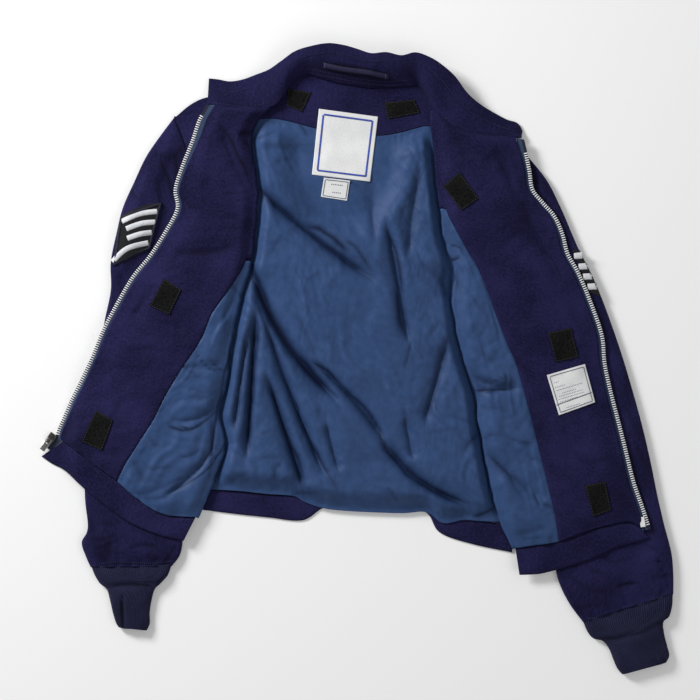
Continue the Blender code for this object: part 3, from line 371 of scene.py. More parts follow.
# Stitches: their pitch, and the length, width and height of one
SEAM_STITCH = Stitch(0.0032, (0.0024, 0.0007, 0.0005))
TACK_STITCH = Stitch(0.0009, (0.0010, 0.0014, 0.0006))
GATHER_STITCH = Stitch(0.0024, (0.0010, 0.0034, 0.0010))
CARE_PRINT = Stitch(0.0019, (0.0014, 0.0011, 0.0002))
SIZE_PRINT = Stitch(0.0019, (0.0015, 0.0018, 0.0002))

# Lines of thread: how far inside an outline in grid squares, and their width in metres
MAIN_FRAME = (5.0, 0.0020)
CARE_FRAME = (2.2, 0.0005)
SIZE_FRAME = (1.6, 0.0005)
PATCH_EDGE = (0.8, 0.0026)
PAD_EDGE = 0.7
CARE_LINE_WIDE = 0.0007
BAR_WIDE = {"left": 0.0062, "right": 0.0074}
BAR_LIFT = 0.0002
BAR_CROWN = 0.0008       # how far bars and edges stand up in the middle
WOVEN_CROWN = 0.0001     # the same for lines woven into a label

# The tables of each side
SIDES = ("left", "right")
FRONTS = {"left": (LEFT_ROWS, LEFT_TOP, LEFT_BAND_TOP), "right": (RIGHT_ROWS, RIGHT_TOP, RIGHT_BAND_TOP)}
BAND_LOWS = {"left": LEFT_BAND_LOW, "right": RIGHT_BAND_LOW}
SPLITS = {"left": SPLIT_LEFT, "right": SPLIT_RIGHT}
SLEEVES = {"left": (LEFT_SLEEVE, LEFT_BOWS, LEFT_CUFF), "right": (RIGHT_SLEEVE, (), RIGHT_CUFF)}


# ---------------------------------------------------------------- shapes on the layout grid

def place(col, row, z):
    """Points of the layout grid in metres."""
    return np.stack([(col - ORIGIN_COL) * SQUARE, (ORIGIN_ROW - row) * SQUARE, z + 0.0 * col], axis=-1)


def spline(rows, t):
    """Smooth rows of a table at sections t."""
    rows = np.asarray(rows, float)
    last = len(rows) - 1
    t = np.clip(np.asarray(t, float), 0, last)
    i = np.minimum(t.astype(int), last - 1)
    f = (t - i)[..., None]
    a, b, c, d = (rows[np.clip(i + k, 0, last)] for k in (-1, 0, 1, 2))
    bend = (2 * a - 5 * b + 4 * c - d) * f + (3 * b - a - 3 * c + d) * f * f
    return b + 0.5 * f * ((c - a) + bend)


def share_of(rows, f):
    """Smooth points at fractions f of a table of edge points."""
    return spline(rows, np.asarray(f, float) * (len(rows) - 1))


def on_band(side, rows, share):
    """The points of a front band's edge at shares of the front's section."""
    seam = SEAM_POINT[side] / (len(rows) - 1)
    return share_of(rows, np.interp(share, [0, 0.5, 1], [0, seam, 1]))


def by_column(rows, col):
    """The grid row of an edge at grid columns, for edges that run across."""
    fine = share_of(rows, np.linspace(0, 1, 240))
    return np.interp(col, np.maximum.accumulate(fine[:, 0]), fine[:, 1])


def ease(value, low, high):
    """Smooth step from 0 at low to 1 at high."""
    f = np.clip((value - low) / (high - low), 0, 1)
    return f * f * (3 - 2 * f)


def to_line(points, col, row):
    """Distance from a broken line, share along it, and side of it (positive on its right)."""
    best = np.full(np.shape(col), 1e9)
    best_f, side = np.zeros_like(best), np.zeros_like(best)
    steps = len(points) - 1
    for k in range(steps):
        (ax, ay), (bx, by) = points[k], points[k + 1]
        dx, dy = bx - ax, by - ay
        part = np.clip(((col - ax) * dx + (row - ay) * dy) / (dx * dx + dy * dy), 0, 1)
        gap = np.hypot(col - ax - dx * part, row - ay - dy * part)
        closer = gap < best
        best = np.where(closer, gap, best)
        best_f = np.where(closer, (k + part) / steps, best_f)
        side = np.where(closer, dx * (row - ay) - dy * (col - ax), side)
    return best, best_f, np.sign(side)


def curve_of(fold, steps=10):
    """Points along a fold's line."""
    f = np.linspace(0, 1, steps + 1)
    a, b, c = (1 - f) ** 2, 2 * f * (1 - f), f * f
    return np.stack([a * fold.x0 + b * fold.x1 + c * fold.x2, a * fold.y0 + b * fold.y1 + c * fold.y2], -1)


def trough(fold, col, row):
    """Depth in metres of one fold at points of the grid."""
    gap, f, _ = to_line(curve_of(fold), col, row)
    ends = ease(f, -0.05, 0.2) * ease(1 - f, -0.05, 0.2)
    shape = 0.6 * np.exp(-(gap / fold.wide_mm) ** 2) + 0.5 * np.exp(-(gap / fold.wide_mm / 0.38) ** 2)
    return fold.deep_mm * 0.001 * ends * shape


def pressed(folds, col, row):
    """Depth of all the folds together, where the deepest one leads."""
    depths = np.sort(np.stack([trough(fold, col, row) for fold in folds]), axis=0)[::-1]
    return depths[0] + 0.3 * depths[1:3].sum(axis=0)


def creases(table, col, row):
    """Height in metres of drawn creases with a raised lip, and the shade painted along them, from 0 to 1.
    """
    high, clear = np.zeros(np.shape(col)), np.ones(np.shape(col))
    sway = 0.8 * cloud(col / 11, row / 11, 71)
    for stroke in table:
        path = np.reshape(stroke.path, (-1, 2))
        reach = 4 * stroke.wide + 2
        (left, top), (right, low) = path.min(0) - reach, path.max(0) + reach
        near = (col > left) & (col < right) & (row > top) & (row < low)
        if not near.any():
            continue
        count = len(path) - 1
        line = spline([tuple(spot) for spot in path], np.linspace(0, count, 6 * count + 1))
        gap, f, side = to_line(line, (col + sway)[near], (row - sway)[near])
        ends = ease(f, -0.04, 0.3) * ease(1 - f, -0.04, 0.35)
        mark = abs(stroke.dark) * ends * np.exp(-(gap / stroke.wide) ** 2)
        deep = 0.00042 * min(stroke.wide, 3.5) + 0.0003
        aside = (gap * side * LIT_SIDE - 1.7 * stroke.wide) / stroke.wide
        lip = 0.3 * stroke.dark * ends * np.exp(-aside ** 2)
        high[near] += deep * (np.maximum(lip, 0) - math.copysign(1, stroke.dark) * mark)
        # Painted shade along each crease, strongest on its line; ridges get none.
        if stroke.dark > 0:
            core = stroke.dark * ends * np.exp(-(gap / (0.3 * stroke.wide + 0.3)) ** 2)
            clear[near] *= 1 - np.minimum(0.8 * mark + 0.5 * core, 1)
    return high, 1 - clear


def painted_fold_shade(folds, small, col, row):
    """How much shade is painted on points, from 0 to 1: more the deeper they lie in the folds and along the
    creases.
    """
    deep = pressed(folds, col, row) / 0.0050
    return np.clip(np.maximum(0.6 * deep ** 1.5, 0.85 * creases(small, col, row)[1]), 0, 1)


def cloud(x, y, seed):
    """Smooth uneven field from -1 to 1 whose lumps are one unit across."""
    lattice = np.random.default_rng(seed).uniform(-1, 1, (64, 64))
    i, j = np.floor(x).astype(int), np.floor(y).astype(int)
    u, v = x - i, y - j
    u, v = u * u * (3 - 2 * u), v * v * (3 - 2 * v)
    i, j, ni, nj = i % 64, j % 64, (i + 1) % 64, (j + 1) % 64
    low = lattice[i, j] * (1 - u) + lattice[ni, j] * u
    return low * (1 - v) + (lattice[i, nj] * (1 - u) + lattice[ni, nj] * u) * v


def rumple(col, row, angle, long, wide, seed):
    """Uneven creasing drawn out along one direction, in degrees clockwise from the right."""
    c, s = math.cos(math.radians(angle)), math.sin(math.radians(angle))
    warp = cloud(col / 37, row / 37, seed + 50) * wide * 1.3
    ahead, aside = (col * c + row * s) / long, (row * c - col * s + warp) / wide
    field = cloud(ahead, aside, seed)
    return 0.55 * field + 0.45 * (1 - 2.2 * np.abs(cloud(ahead * 1.3, aside * 1.2, seed + 1)))


def coons(top, low, left, right, columns, rows, height):
    """Points of a sheet between four edges, evenly spread."""
    u, v = np.meshgrid(np.linspace(0, 1, columns + 1), np.linspace(0, 1, rows + 1))
    one_u, one_v = np.linspace(0, 1, columns + 1), np.linspace(0, 1, rows + 1)
    up, down = share_of(top, one_u)[None], share_of(low, one_u)[None]
    near, far = share_of(left, one_v)[:, None], share_of(right, one_v)[:, None]
    u, v = u[..., None], v[..., None]
    ruled = (1 - v) * up + v * down + (1 - u) * near + u * far
    corners = ((1 - v) * ((1 - u) * up[:, :1] + u * up[:, -1:])
               + v * ((1 - u) * down[:, :1] + u * down[:, -1:]))
    spot = ruled - corners
    col, row = spot[..., 0], spot[..., 1]
    return place(col, row, height(col, row))


def moved(rows, right, down):
    """A table of edge points, shifted on the grid."""
    return [Edge(r.x + right, r.y + down) for r in rows]


def grid_of(points):
    """Grid columns and rows of points in metres."""
    return points[..., 0] / SQUARE + ORIGIN_COL, ORIGIN_ROW - points[..., 1] / SQUARE


# ---------------------------------------------------------------- meshes

def sheet_mesh(name, points, keep=None, ring=False, up=True, painted_shade=None):
    """A mesh on a grid of points with real lengths as its UV map. A ring closes its last column."""
    rows, columns = points.shape[:2]
    bm = bmesh.new()
    bmesh.ops.create_grid(bm, x_segments=columns - 1, y_segments=rows - 1, size=1.0)
    mesh = bpy.data.meshes.new(name)
    bm.to_mesh(mesh)
    bm.free()
    mesh.vertices.foreach_set("co", points.reshape(-1))
    ahead = np.linalg.norm(np.diff(points, axis=1), axis=-1)
    down = np.linalg.norm(np.diff(points, axis=0), axis=-1)
    u = np.concatenate([np.zeros((rows, 1)), np.cumsum(ahead, axis=1)], axis=1)
    u -= u[:, columns // 2:columns // 2 + 1]
    v = np.concatenate([np.zeros((1, columns)), np.cumsum(down, axis=0)], axis=0)
    corner = np.empty(len(mesh.loops), np.int32)
    mesh.loops.foreach_get("vertex_index", corner)
    uv = np.stack([u.reshape(-1)[corner], v.reshape(-1)[corner]], -1)
    mesh.uv_layers.new(name="cloth").data.foreach_set("uv", uv.reshape(-1))
    # Painted shade: how much of the material's dark tone each point gets.
    if painted_shade is not None:
        mesh.attributes.new("painted_fold_shade", "FLOAT", "POINT").data.foreach_set("value", painted_shade.reshape(-1))
    bm = bmesh.new()
    bm.from_mesh(mesh)
    if keep is not None:
        bm.faces.ensure_lookup_table()
        gone = [bm.faces[k] for k in np.flatnonzero(~keep.reshape(-1))]
        bmesh.ops.delete(bm, geom=gone, context="FACES")
    if ring:
        bmesh.ops.remove_doubles(bm, verts=bm.verts, dist=1e-6)
        facing = sum(f.normal.z * f.calc_area() * (f.calc_center_median().z - 0.004) for f in bm.faces)
    else:
        facing = sum(f.normal.z * f.calc_area() for f in bm.faces)
    if (facing < 0) == up:
        bmesh.ops.reverse_faces(bm, faces=bm.faces)
    bm.to_mesh(mesh)
    bm.free()
    mesh.update()
    return mesh


def add_piece(name, mesh, look, body="jacket", nodes=()):
    """An object of the jacket that rides on a body and stands for the named solids."""
    piece = bpy.data.objects.new(name, mesh)
    bpy.context.scene.collection.objects.link(piece)
    mesh.materials.clear()
    mesh.materials.append(look)
    mesh.shade_smooth()
    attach(piece, body)
    if nodes:
        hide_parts(*nodes)
    return piece


def cloth(node, points, wall, look, keep=None, ring=False, rests_on=(), with_pieces=(), painted_shade=None):
    """A cloth piece that stands for its solid: a thin wall on a grid of points."""
    mesh = sheet_mesh(node + "_cloth", points, keep, ring, painted_shade=painted_shade)
    piece = add_piece(node + "_cloth", mesh, look, nodes=(node,))
    made = piece.modifiers.new("wall", "SOLIDIFY")
    made.thickness = wall
    made.offset = -1.0 if ring else 1.0
    SHEETS.append((piece, node, rests_on, list(with_pieces)))
    return piece


def ray_tree(*pieces):
    """Ray-cast trees of finished pieces."""
    graph = bpy.context.evaluated_depsgraph_get()
    return [BVHTree.FromObject(p, graph) for p in pieces]


def top_of(trees, x, y, reach=0.0):
    """Highest point of the trees at a place, or near it."""
    best = None
    for dx, dy in ((0, 0), (reach, 0), (-reach, 0), (0, reach), (0, -reach)):
        for tree in trees:
            hit = tree.ray_cast(Vector((x + dx, y + dy, 0.2)), Vector((0, 0, -1)))[0]
            if hit is not None:
                best = hit.z if best is None else max(best, hit.z)
        if reach == 0:
            break
    return best


def quad_points(corners, cells, trees, gap, bulge=(0, 0), ragged=0.0):
    """Points between four grid corners, laid on what is under them, with close rows at the edges."""
    a, b, c, d = (place(np.float64(x), np.float64(y), 0.0) for x, y in corners)
    shares = [0.0, *np.linspace(0.014, 0.986, cells - 1), 1.0]
    points = np.zeros((cells + 1, cells + 1, 3))
    for i, v in enumerate(shares):
        for j, u in enumerate(shares):
            spot = (a * (1 - u) + b * u) * (1 - v) + (d * (1 - u) + c * u) * v
            spot[1] += 4 * u * (1 - u) * (bulge[0] * (1 - v) + bulge[1] * v) * SQUARE
            spot[:2] += [ragged * cloud(*(spot[:2] * 700), seed) for seed in (92, 93)]
            spot[2] = top_of(trees, spot[0], spot[1], LAID_REACH) + gap
            points[i, j] = spot
    return points


def unit_shape(kind, size, bevel=0.0):
    """A small mesh to repeat: a rounded block or a bead."""
    bm = bmesh.new()
    if kind == "bead":
        bmesh.ops.create_icosphere(bm, subdivisions=1, radius=0.5)
    else:
        bmesh.ops.create_cube(bm, size=1.0)
    bmesh.ops.scale(bm, vec=size, verts=bm.verts)
    if bevel:
        bmesh.ops.bevel(bm, geom=bm.edges[:], offset=bevel, offset_type="OFFSET", segments=1,
                        profile=0.5, affect="EDGES", material=-1)
    mesh = bpy.data.meshes.new("unit")
    bm.to_mesh(mesh)
    bm.free()
    return mesh


def repeated(name, unit, places, look, body="jacket"):
    """One piece made of copies of a small mesh."""
    bm = bmesh.new()
    for matrix in places:
        one = unit.copy()
        one.transform(matrix)
        bm.from_mesh(one)
        bpy.data.meshes.remove(one)
    mesh = bpy.data.meshes.new(name)
    bm.to_mesh(mesh)
    bm.free()
    return add_piece(name, mesh, look, body)


def spaced(path, pitch):
    """Evenly spaced points and directions along a path in the plane, in metres."""
    path = np.asarray(path, float)
    far = np.concatenate([[0], np.cumsum(np.linalg.norm(np.diff(path[:, :2], axis=0), axis=1))])
    count = max(2, int(far[-1] / pitch))
    at = (np.arange(count) + 0.5) * far[-1] / count
    spot = np.stack([np.interp(at, far, path[:, k]) for k in (0, 1)], -1)
    ahead = np.stack([np.interp(at + pitch * 0.4, far, path[:, k]) for k in (0, 1)], -1)
    behind = np.stack([np.interp(at - pitch * 0.4, far, path[:, k]) for k in (0, 1)], -1)
    way = ahead - behind
    return spot, way / np.linalg.norm(way, axis=1)[:, None]


def frame_at(x, y, z, way, rise=0.0):
    """A placing matrix whose X runs along way, rising by rise."""
    forward = Vector((way[0], way[1], rise)).normalized()
    side = Vector((0, 0, 1)).cross(forward).normalized()
    matrix = Matrix((forward, side, forward.cross(side))).transposed().to_4x4()
    matrix.translation = (x, y, z)
    return matrix


def stitches(name, lines, under, look, stitch=SEAM_STITCH):
    """Rows of sewing stitches laid on finished pieces. Lines are on the layout grid."""
    trees = ray_tree(*under)
    unit = unit_shape("bead", stitch.size)
    places = []
    for line in lines:
        path = place(*np.asarray(line, float).T, 0.0)
        spots, ways = spaced(path, stitch.pitch)
        for (x, y), way in zip(spots, ways):
            z = top_of(trees, x, y)
            if z is None:
                continue
            ahead = top_of(trees, x + way[0] * 0.001, y + way[1] * 0.001)
            rise = 0.0 if ahead is None else np.clip((ahead - z) / 0.001, -2.5, 2.5)
            places.append(frame_at(x, y, z + stitch.size[2] * 0.2, way, rise))
    return repeated(name, unit, places, look)


# ---------------------------------------------------------------- materials

def srgb(code):
    """A hex colour as the linear colour that shaders take."""
    parts = [int(code[k:k + 2], 16) / 255 for k in (1, 3, 5)]
    return tuple(p / 12.92 if p <= 0.04045 else ((p + 0.055) / 1.055) ** 2.4 for p in parts) + (1.0,)


def add(made, kind, links=None, **settings):
    """A shader node with its settings; links gives each input a value or another node's output."""
    node = made.node_tree.nodes.new("ShaderNode" + kind)
    for key, value in settings.items():
        setattr(node, key, value)
    for key, value in (links or {}).items():
        if isinstance(value, bpy.types.NodeSocket):
            made.node_tree.links.new(value, node.inputs[key])
        else:
            node.inputs[key].default_value = value
    return node


def surface(name, **values):
    """A material and its shader, with the values that are the same all over."""
    made = bpy.data.materials.new(name)
    made.use_nodes = True
    shader = made.node_tree.nodes["Principled BSDF"]
    for key, value in values.items():
        shader.inputs[key.replace("_", " ")].default_value = value
    return made, shader


def tint(made, factor, low, high):
    """Colour between two tones by a factor."""
    return add(made, "Mix", {0: factor, 6: srgb(low), 7: srgb(high)}, data_type="RGBA").outputs[2]


def woven(name, tones, lump_mm, weave_mm, direction, bump, rough, crinkle=0.0, **values):
    """Cloth on its UV map: two tones in soft lumps, thread lines at a real spacing, and a last tone
    that is painted as shade into the folds and creases."""
    made, shader = surface(name, Roughness=rough, **values)
    at = add(made, "UVMap").outputs[0]
    lumps = add(made, "TexNoise", {"Vector": at, "Scale": 1000 / lump_mm, "Detail": 4.0, "Roughness": 0.65})
    broad = add(made, "TexNoise", {"Vector": at, "Scale": 14.0, "Detail": 2.0})
    mix = add(made, "Math", {0: lumps.outputs[0], 1: broad.outputs[0]}, operation="ADD")
    spread = add(made, "MapRange", {0: mix.outputs[0], 1: 0.80, 2: 1.20})
    # Painted shade: the base colour is mixed towards the last, dark tone as far as the painted fold shade
    # attribute says.
    fold = add(made, "Attribute", attribute_name="painted_fold_shade").outputs[2]
    plain = tint(made, spread.outputs[0], *tones[:2])
    shaded = add(made, "Mix", {0: fold, 6: plain, 7: srgb(tones[-1])}, data_type="RGBA")
    made.node_tree.links.new(shaded.outputs[2], shader.inputs["Base Color"])
    period = {"DIAGONAL": 0.444, "X": 0.314, "Y": 0.314}[direction]
    threads = add(made, "TexWave", {"Vector": at, "Scale": period * 1000 / weave_mm, "Distortion": 1.2,
                                    "Detail": 1.0}, bands_direction=direction)
    height = add(made, "Math", {0: threads.outputs[1], 1: lumps.outputs[0]}, operation="ADD")
    raised = add(made, "Bump", {"Strength": bump, "Distance": 0.0004, "Height": height.outputs[0]})
    if crinkle:
        turned = add(made, "Mapping", {0: at, 2: (0, 0, 0.9), 3: (22.0, 52.0, 1.0)})
        crumple = add(made, "TexNoise", {"Vector": turned.outputs[0], "Scale": 1.0, "Detail": 3.0,
                                         "Distortion": 0.6})
        raised = add(made, "Bump", {"Strength": 1.0, "Distance": crinkle, "Height": crumple.outputs[0],
                                    "Normal": raised.outputs[0]})
    made.node_tree.links.new(raised.outputs[0], shader.inputs["Normal"])
    return made


# The third tone of each cloth is the shade painted into its folds and creases.
# Brushed cotton and wool twill: slanting wales under a short nap, so it is matt and slightly mottled
TWILL_NAVY = woven("brushed_navy_twill", ("#110F32", "#262451", "#0A0920"), 3.0, 1.1, "DIAGONAL", 0.6,
                   0.95, 0.0012, Specular_IOR_Level=0.2, Sheen_Weight=0.10, Sheen_Roughness=0.5,
                   Sheen_Tint=srgb("#4E4A86"))
# Rayon lining in a plain satin weave: smooth thread, broad soft highlights on its folds
LINING_BLUE = woven("woven_blue_rayon_lining", ("#314973", "#39527F", "#0A1430"), 9.0, 1.5, "X", 0.12,
                    0.55, 0.0005, Specular_IOR_Level=0.15, Sheen_Weight=0.03, Sheen_Roughness=0.3,
                    Sheen_Tint=srgb("#A8C0E8"))
# Twill strip folded in four and pressed hard, so it shines a little
LOOP_NAVY = woven("pressed_navy_twill", ("#1A1940", "#302F5A", "#08071C"), 2.0, 1.1, "DIAGONAL", 0.4,
                  0.8, 0.0003)
# Acrylic and wool rib knit: deep columns of loops, with shade painted into the valleys between them
RIB_KNIT = woven("navy_rib_knit", ("#20223F", "#333557", "#0A0A18"), 1.6, 2.0, "X", 1.0, 0.95,
                 Specular_IOR_Level=0.2, Sheen_Weight=0.12, Sheen_Roughness=0.5, Sheen_Tint=srgb("#5A5A88"))
# Polyester zip tape: tight smooth weave, lighter and greyer than the cloth
TAPE_SLATE = woven("woven_slate_zip_tape", ("#2A3C5E", "#3A4F72", "#0A0E1C"), 3.0, 1.3, "DIAGONAL", 0.4,
                   0.8)
# Nylon hook and loop pile: matt, tangled, with brownish dust in it
PILE_BLACK = woven("black_nylon_pile", ("#020203", "#20231F"), 3.2, 1.1, "X", 1.0, 0.95,
                   Specular_IOR_Level=0.2)
# Damask label: fine white polyester, flat and a little glossy
LABEL_WHITE = woven("woven_white_label", ("#E8E9EA", "#FAFAF9"), 2.0, 1.0, "Y", 0.3, 0.62)
# Embroidery ground: black twill
PATCH_BLACK = woven("black_patch_twill", ("#08080F", "#12121E"), 1.6, 1.4, "DIAGONAL", 0.5, 0.9)
# Satin stitch and overlock edges in rayon thread, which catches the light across each thread
THREAD_WHITE = woven("white_satin_stitch", ("#DDE0E6", "#F6F7F9"), 2.5, 1.2, "Y", 0.8, 0.55)
THREAD_DARK = woven("dark_overlock_thread", ("#15162B", "#24253F"), 1.2, 1.1, "Y", 1.0, 0.7)
THREAD_WORN = woven("worn_pad_thread", ("#1C1D20", "#4C4E4C"), 1.2, 1.1, "Y", 1.0, 0.8)
# Spun polyester sewing thread, a little lighter than the twill
THREAD_NAVY = woven("navy_sewing_thread", ("#201F48", "#36345F"), 1.0, 1.0, "X", 0.3, 0.7)
THREAD_PALE = woven("pale_tack_thread", ("#3E3D64", "#5A5A80"), 1.0, 1.0, "X", 0.3, 0.7)
THREAD_ROYAL = woven("royal_blue_woven_line", ("#2E47A8", "#3E58BC"), 1.0, 1.0, "X", 0.3, 0.6)
THREAD_GREY = woven("grey_woven_line", ("#4C5468", "#626C82"), 1.0, 1.0, "X", 0.3, 0.6)


def metal(name, tones, rough, metallic=1.0):
    """Plated metal: slightly uneven tone and polish, on object coordinates."""
    made, shader = surface(name, Metallic=metallic)
    at = add(made, "TexCoord").outputs[3]
    wear = add(made, "TexNoise", {"Vector": at, "Scale": 420.0, "Detail": 3.0})
    made.node_tree.links.new(tint(made, wear.outputs[0], *tones), shader.inputs["Base Color"])
    polish = add(made, "MapRange", {0: wear.outputs[0], 3: rough - 0.1, 4: rough + 0.12})
    made.node_tree.links.new(polish.outputs[0], shader.inputs["Roughness"])
    return made


# Aluminium teeth, pressed and tumbled: bright, with soft edges
ALUMINIUM = metal("tumbled_aluminium_teeth", ("#F4F5F6", "#FFFFFF"), 0.35, 0.0)
# Die-cast slider with a nickel finish, worn darker in places
NICKEL = metal("worn_nickel_plate", ("#161514", "#8E8C88"), 0.3)
NICKEL_BRIGHT = metal("polished_nickel_plate", ("#2A2928", "#E6E4E0"), 0.25)


# ---------------------------------------------------------------- cloth pieces

LIT_SIDE = -1            # the side of a crease, along its path, that stands up
SHEETS = []              # the cloth pieces, each with what it rests on and what goes with it

# Creases of each piece: each presses its line into the cloth and has shade painted along it.
BACK_CREASES = table(
    Stroke,
    (0.8, 3.2, (334, 380, 350, 393, 366, 408, 376, 424, 386, 446, 400, 466)),
    (0.8, 1.2, (454, 300, 457, 337, 471, 387, 479, 430, 483, 460, 488, 490, 493, 515)),
    (0.9, 5.0, (257, 184, 270, 199, 284, 211, 304, 225)),
    (0.9, 4.5, (300, 223, 322, 231, 340, 244, 350, 254)), (0.6, 3.0, (346, 240, 358, 250, 375, 278)),
    (0.45, 3.2, (370, 186, 371, 213, 374, 242)), (0.75, 3.0, (383, 218, 393, 244, 401, 274, 403, 312)),
    (0.35, 4.0, (424, 170, 416, 189, 401, 204)), (0.25, 7.0, (400, 204, 406, 222, 408, 248)),
    (0.4, 7.0, (420, 260, 436, 278, 452, 300)), (1.1, 4.2, (249, 256, 260, 284, 273, 317, 290, 348)),
    (1.1, 5.2, (270, 309, 288, 345, 312, 371, 340, 402)), (0.25, 2.0, (269, 257, 276, 246, 283, 235)),
    (0.3, 1.8, (306, 281, 313, 277, 321, 270)), (0.25, 4.0, (270, 165, 282, 161, 296, 160)),
    (0.35, 2.4, (250, 143, 262, 138, 276, 132)), (0.5, 2.0, (298, 124, 303, 129, 308, 138)),
    (0.3, 2.0, (346, 181, 354, 184, 362, 190)), (0.85, 2.4, (311, 360, 328, 371, 345, 390)),
    (0.7, 2.6, (340, 384, 357, 404, 385, 438)), (0.55, 1.8, (252, 291, 262, 316, 269, 336, 278, 367)),
    (0.85, 3.0, (276, 362, 292, 392, 302, 423, 313, 446, 329, 473, 339, 494)),
    (0.85, 2.8, (264, 368, 275, 397, 286, 430, 298, 458, 304, 490)),
    (0.5, 4.5, (292, 444, 301, 464, 304, 492)),
    (0.9, 2.3, (254, 304, 259, 326, 258, 346, 255, 370, 253, 407, 250, 443, 243, 466)),
    (0.4, 5.0, (254, 340, 249, 380, 246, 420, 241, 450)),
    (0.6, 2.0, (254, 318, 245, 338, 242, 373, 239, 407, 234, 432)),
    (0.5, 2.0, (325, 420, 332, 448, 339, 473)), (0.25, 3.4, (299, 314, 308, 338, 320, 366)),
    (0.3, 1.8, (259, 433, 266, 433, 275, 427)), (0.3, 1.8, (257, 461, 268, 457, 284, 457)),
    (0.45, 3.0, (283, 463, 276, 468, 276, 482)), (0.5, 5.0, (206, 486, 214, 478, 224, 462)),
    (0.5, 4.0, (290, 494, 304, 492, 320, 492)), (0.75, 4.6, (395, 284, 397, 306, 399, 322, 408, 344)),
    (0.5, 2.2, (412, 340, 408, 354, 404, 371)), (0.3, 3.2, (440, 320, 434, 329, 427, 338)),
    (0.6, 3.6, (444, 334, 446, 350, 440, 374)), (0.5, 2.4, (443, 368, 432, 394, 426, 426)),
    (0.5, 3.0, (403, 408, 407, 432, 411, 460)), (0.8, 2.8, (377, 424, 388, 452, 404, 472, 418, 484)),
    (0.85, 4.0, (408, 474, 424, 487, 442, 497, 474, 508)), (0.4, 1.8, (387, 486, 394, 494, 399, 501)),
    (0.5, 3.0, (480, 430, 470, 441, 460, 455)), (0.8, 2.2, (472, 516, 484, 512, 496, 506)),
    (0.25, 2.2, (422, 435, 440, 430, 462, 428)), (0.45, 2.0, (240, 292, 234, 306, 236, 320)),
    (0.3, 2.4, (246, 470, 236, 478, 226, 484)), (-0.5, 3.5, (268, 366, 282, 402, 297, 440, 314, 476)),
    (-0.5, 2.5, (246, 286, 258, 312, 272, 352)), (-0.4, 2.2, (306, 364, 326, 380, 346, 404)),
    (-0.4, 3.0, (262, 372, 256, 410, 250, 456)), (-0.4, 3.5, (236, 348, 234, 380, 232, 410)),
    (-0.4, 4.0, (388, 208, 400, 240, 408, 280)), (-0.35, 4.0, (262, 174, 286, 198, 312, 216)),
)
LEFT_CREASES = table(
    Stroke,
    (0.9, 0.9, (168, 421, 180, 427, 193, 428, 205, 422, 217, 410)),
    (0.9, 0.9, (170, 493, 188, 484, 205, 471, 216, 458, 226, 440, 231, 430)),
    (0.9, 1.0, (225, 367, 221.7, 390, 216.7, 413, 212.7, 440, 211.5, 460, 209, 480)),
    (0.6, 1.2, (193, 352, 203, 362, 212, 370, 224, 368)),
    (0.95, 1.8, (166, 421, 175, 429, 190, 430, 207, 419, 220, 408)),
    (0.95, 1.8, (231, 316, 232, 342, 226, 367, 222, 390, 217, 410, 212, 447, 197, 472, 166, 495)),
    (0.6, 2.6, (233, 330, 232, 342, 229, 356)), (-0.6, 2.2, (231, 436, 220, 455, 200, 472)),
    (0.6, 2.0, (229, 443, 221, 452, 211, 460)), (0.4, 3.2, (210, 482, 219, 472, 229, 456)),
    (0.35, 1.8, (183, 365, 192, 372, 203, 378)), (0.3, 2.0, (148, 434, 154, 442, 162, 448)),
    (0.35, 5.0, (131, 458, 139, 470, 147, 486)), (0.35, 2.5, (147, 467, 158, 468, 174, 465)),
    (0.35, 1.9, (140, 497, 156, 498, 176, 494)), (0.5, 2.2, (208, 358, 217, 367, 228, 373)),
    (0.4, 2.4, (230, 284, 238, 293, 243, 306)), (-0.4, 2.6, (246, 268, 242, 284, 238, 300)),
    (0.3, 2.4, (190, 388, 202, 391, 218, 393)), (0.35, 2.2, (196, 400, 206, 398, 216, 392)),
    (0.45, 2.0, (176, 456, 190, 455, 204, 446)), (-0.4, 3.0, (170, 434, 190, 438, 210, 426)),
    (0.85, 3.0, (219, 127, 229, 136, 240, 159, 253, 186)), (-0.6, 3.2, (233, 129, 246, 148, 254, 170)),
    (0.8, 2.8, (238, 136, 245, 134, 253, 135)), (0.6, 2.4, (245, 143, 250, 147, 254, 154)),
    (0.4, 2.4, (188, 206, 196, 208, 206, 211)), (0.3, 2.6, (226, 213, 240, 220, 256, 223)),
    (0.6, 3.2, (174, 250, 195, 255, 236, 249)), (0.4, 2.8, (177, 251, 174, 265, 159, 277)),
    (0.4, 3.2, (156, 280, 150, 295, 133, 317)), (0.3, 3.2, (176, 318, 179, 330, 178, 344)),
    (0.3, 2.4, (210, 136, 211, 142, 211, 150)), (0.2, 3.4, (118, 344, 136, 350, 160, 346)),
    (0.2, 3.4, (106, 424, 118, 410, 122, 392)), (-0.25, 4.0, (196, 300, 190, 322, 176, 346)),
)
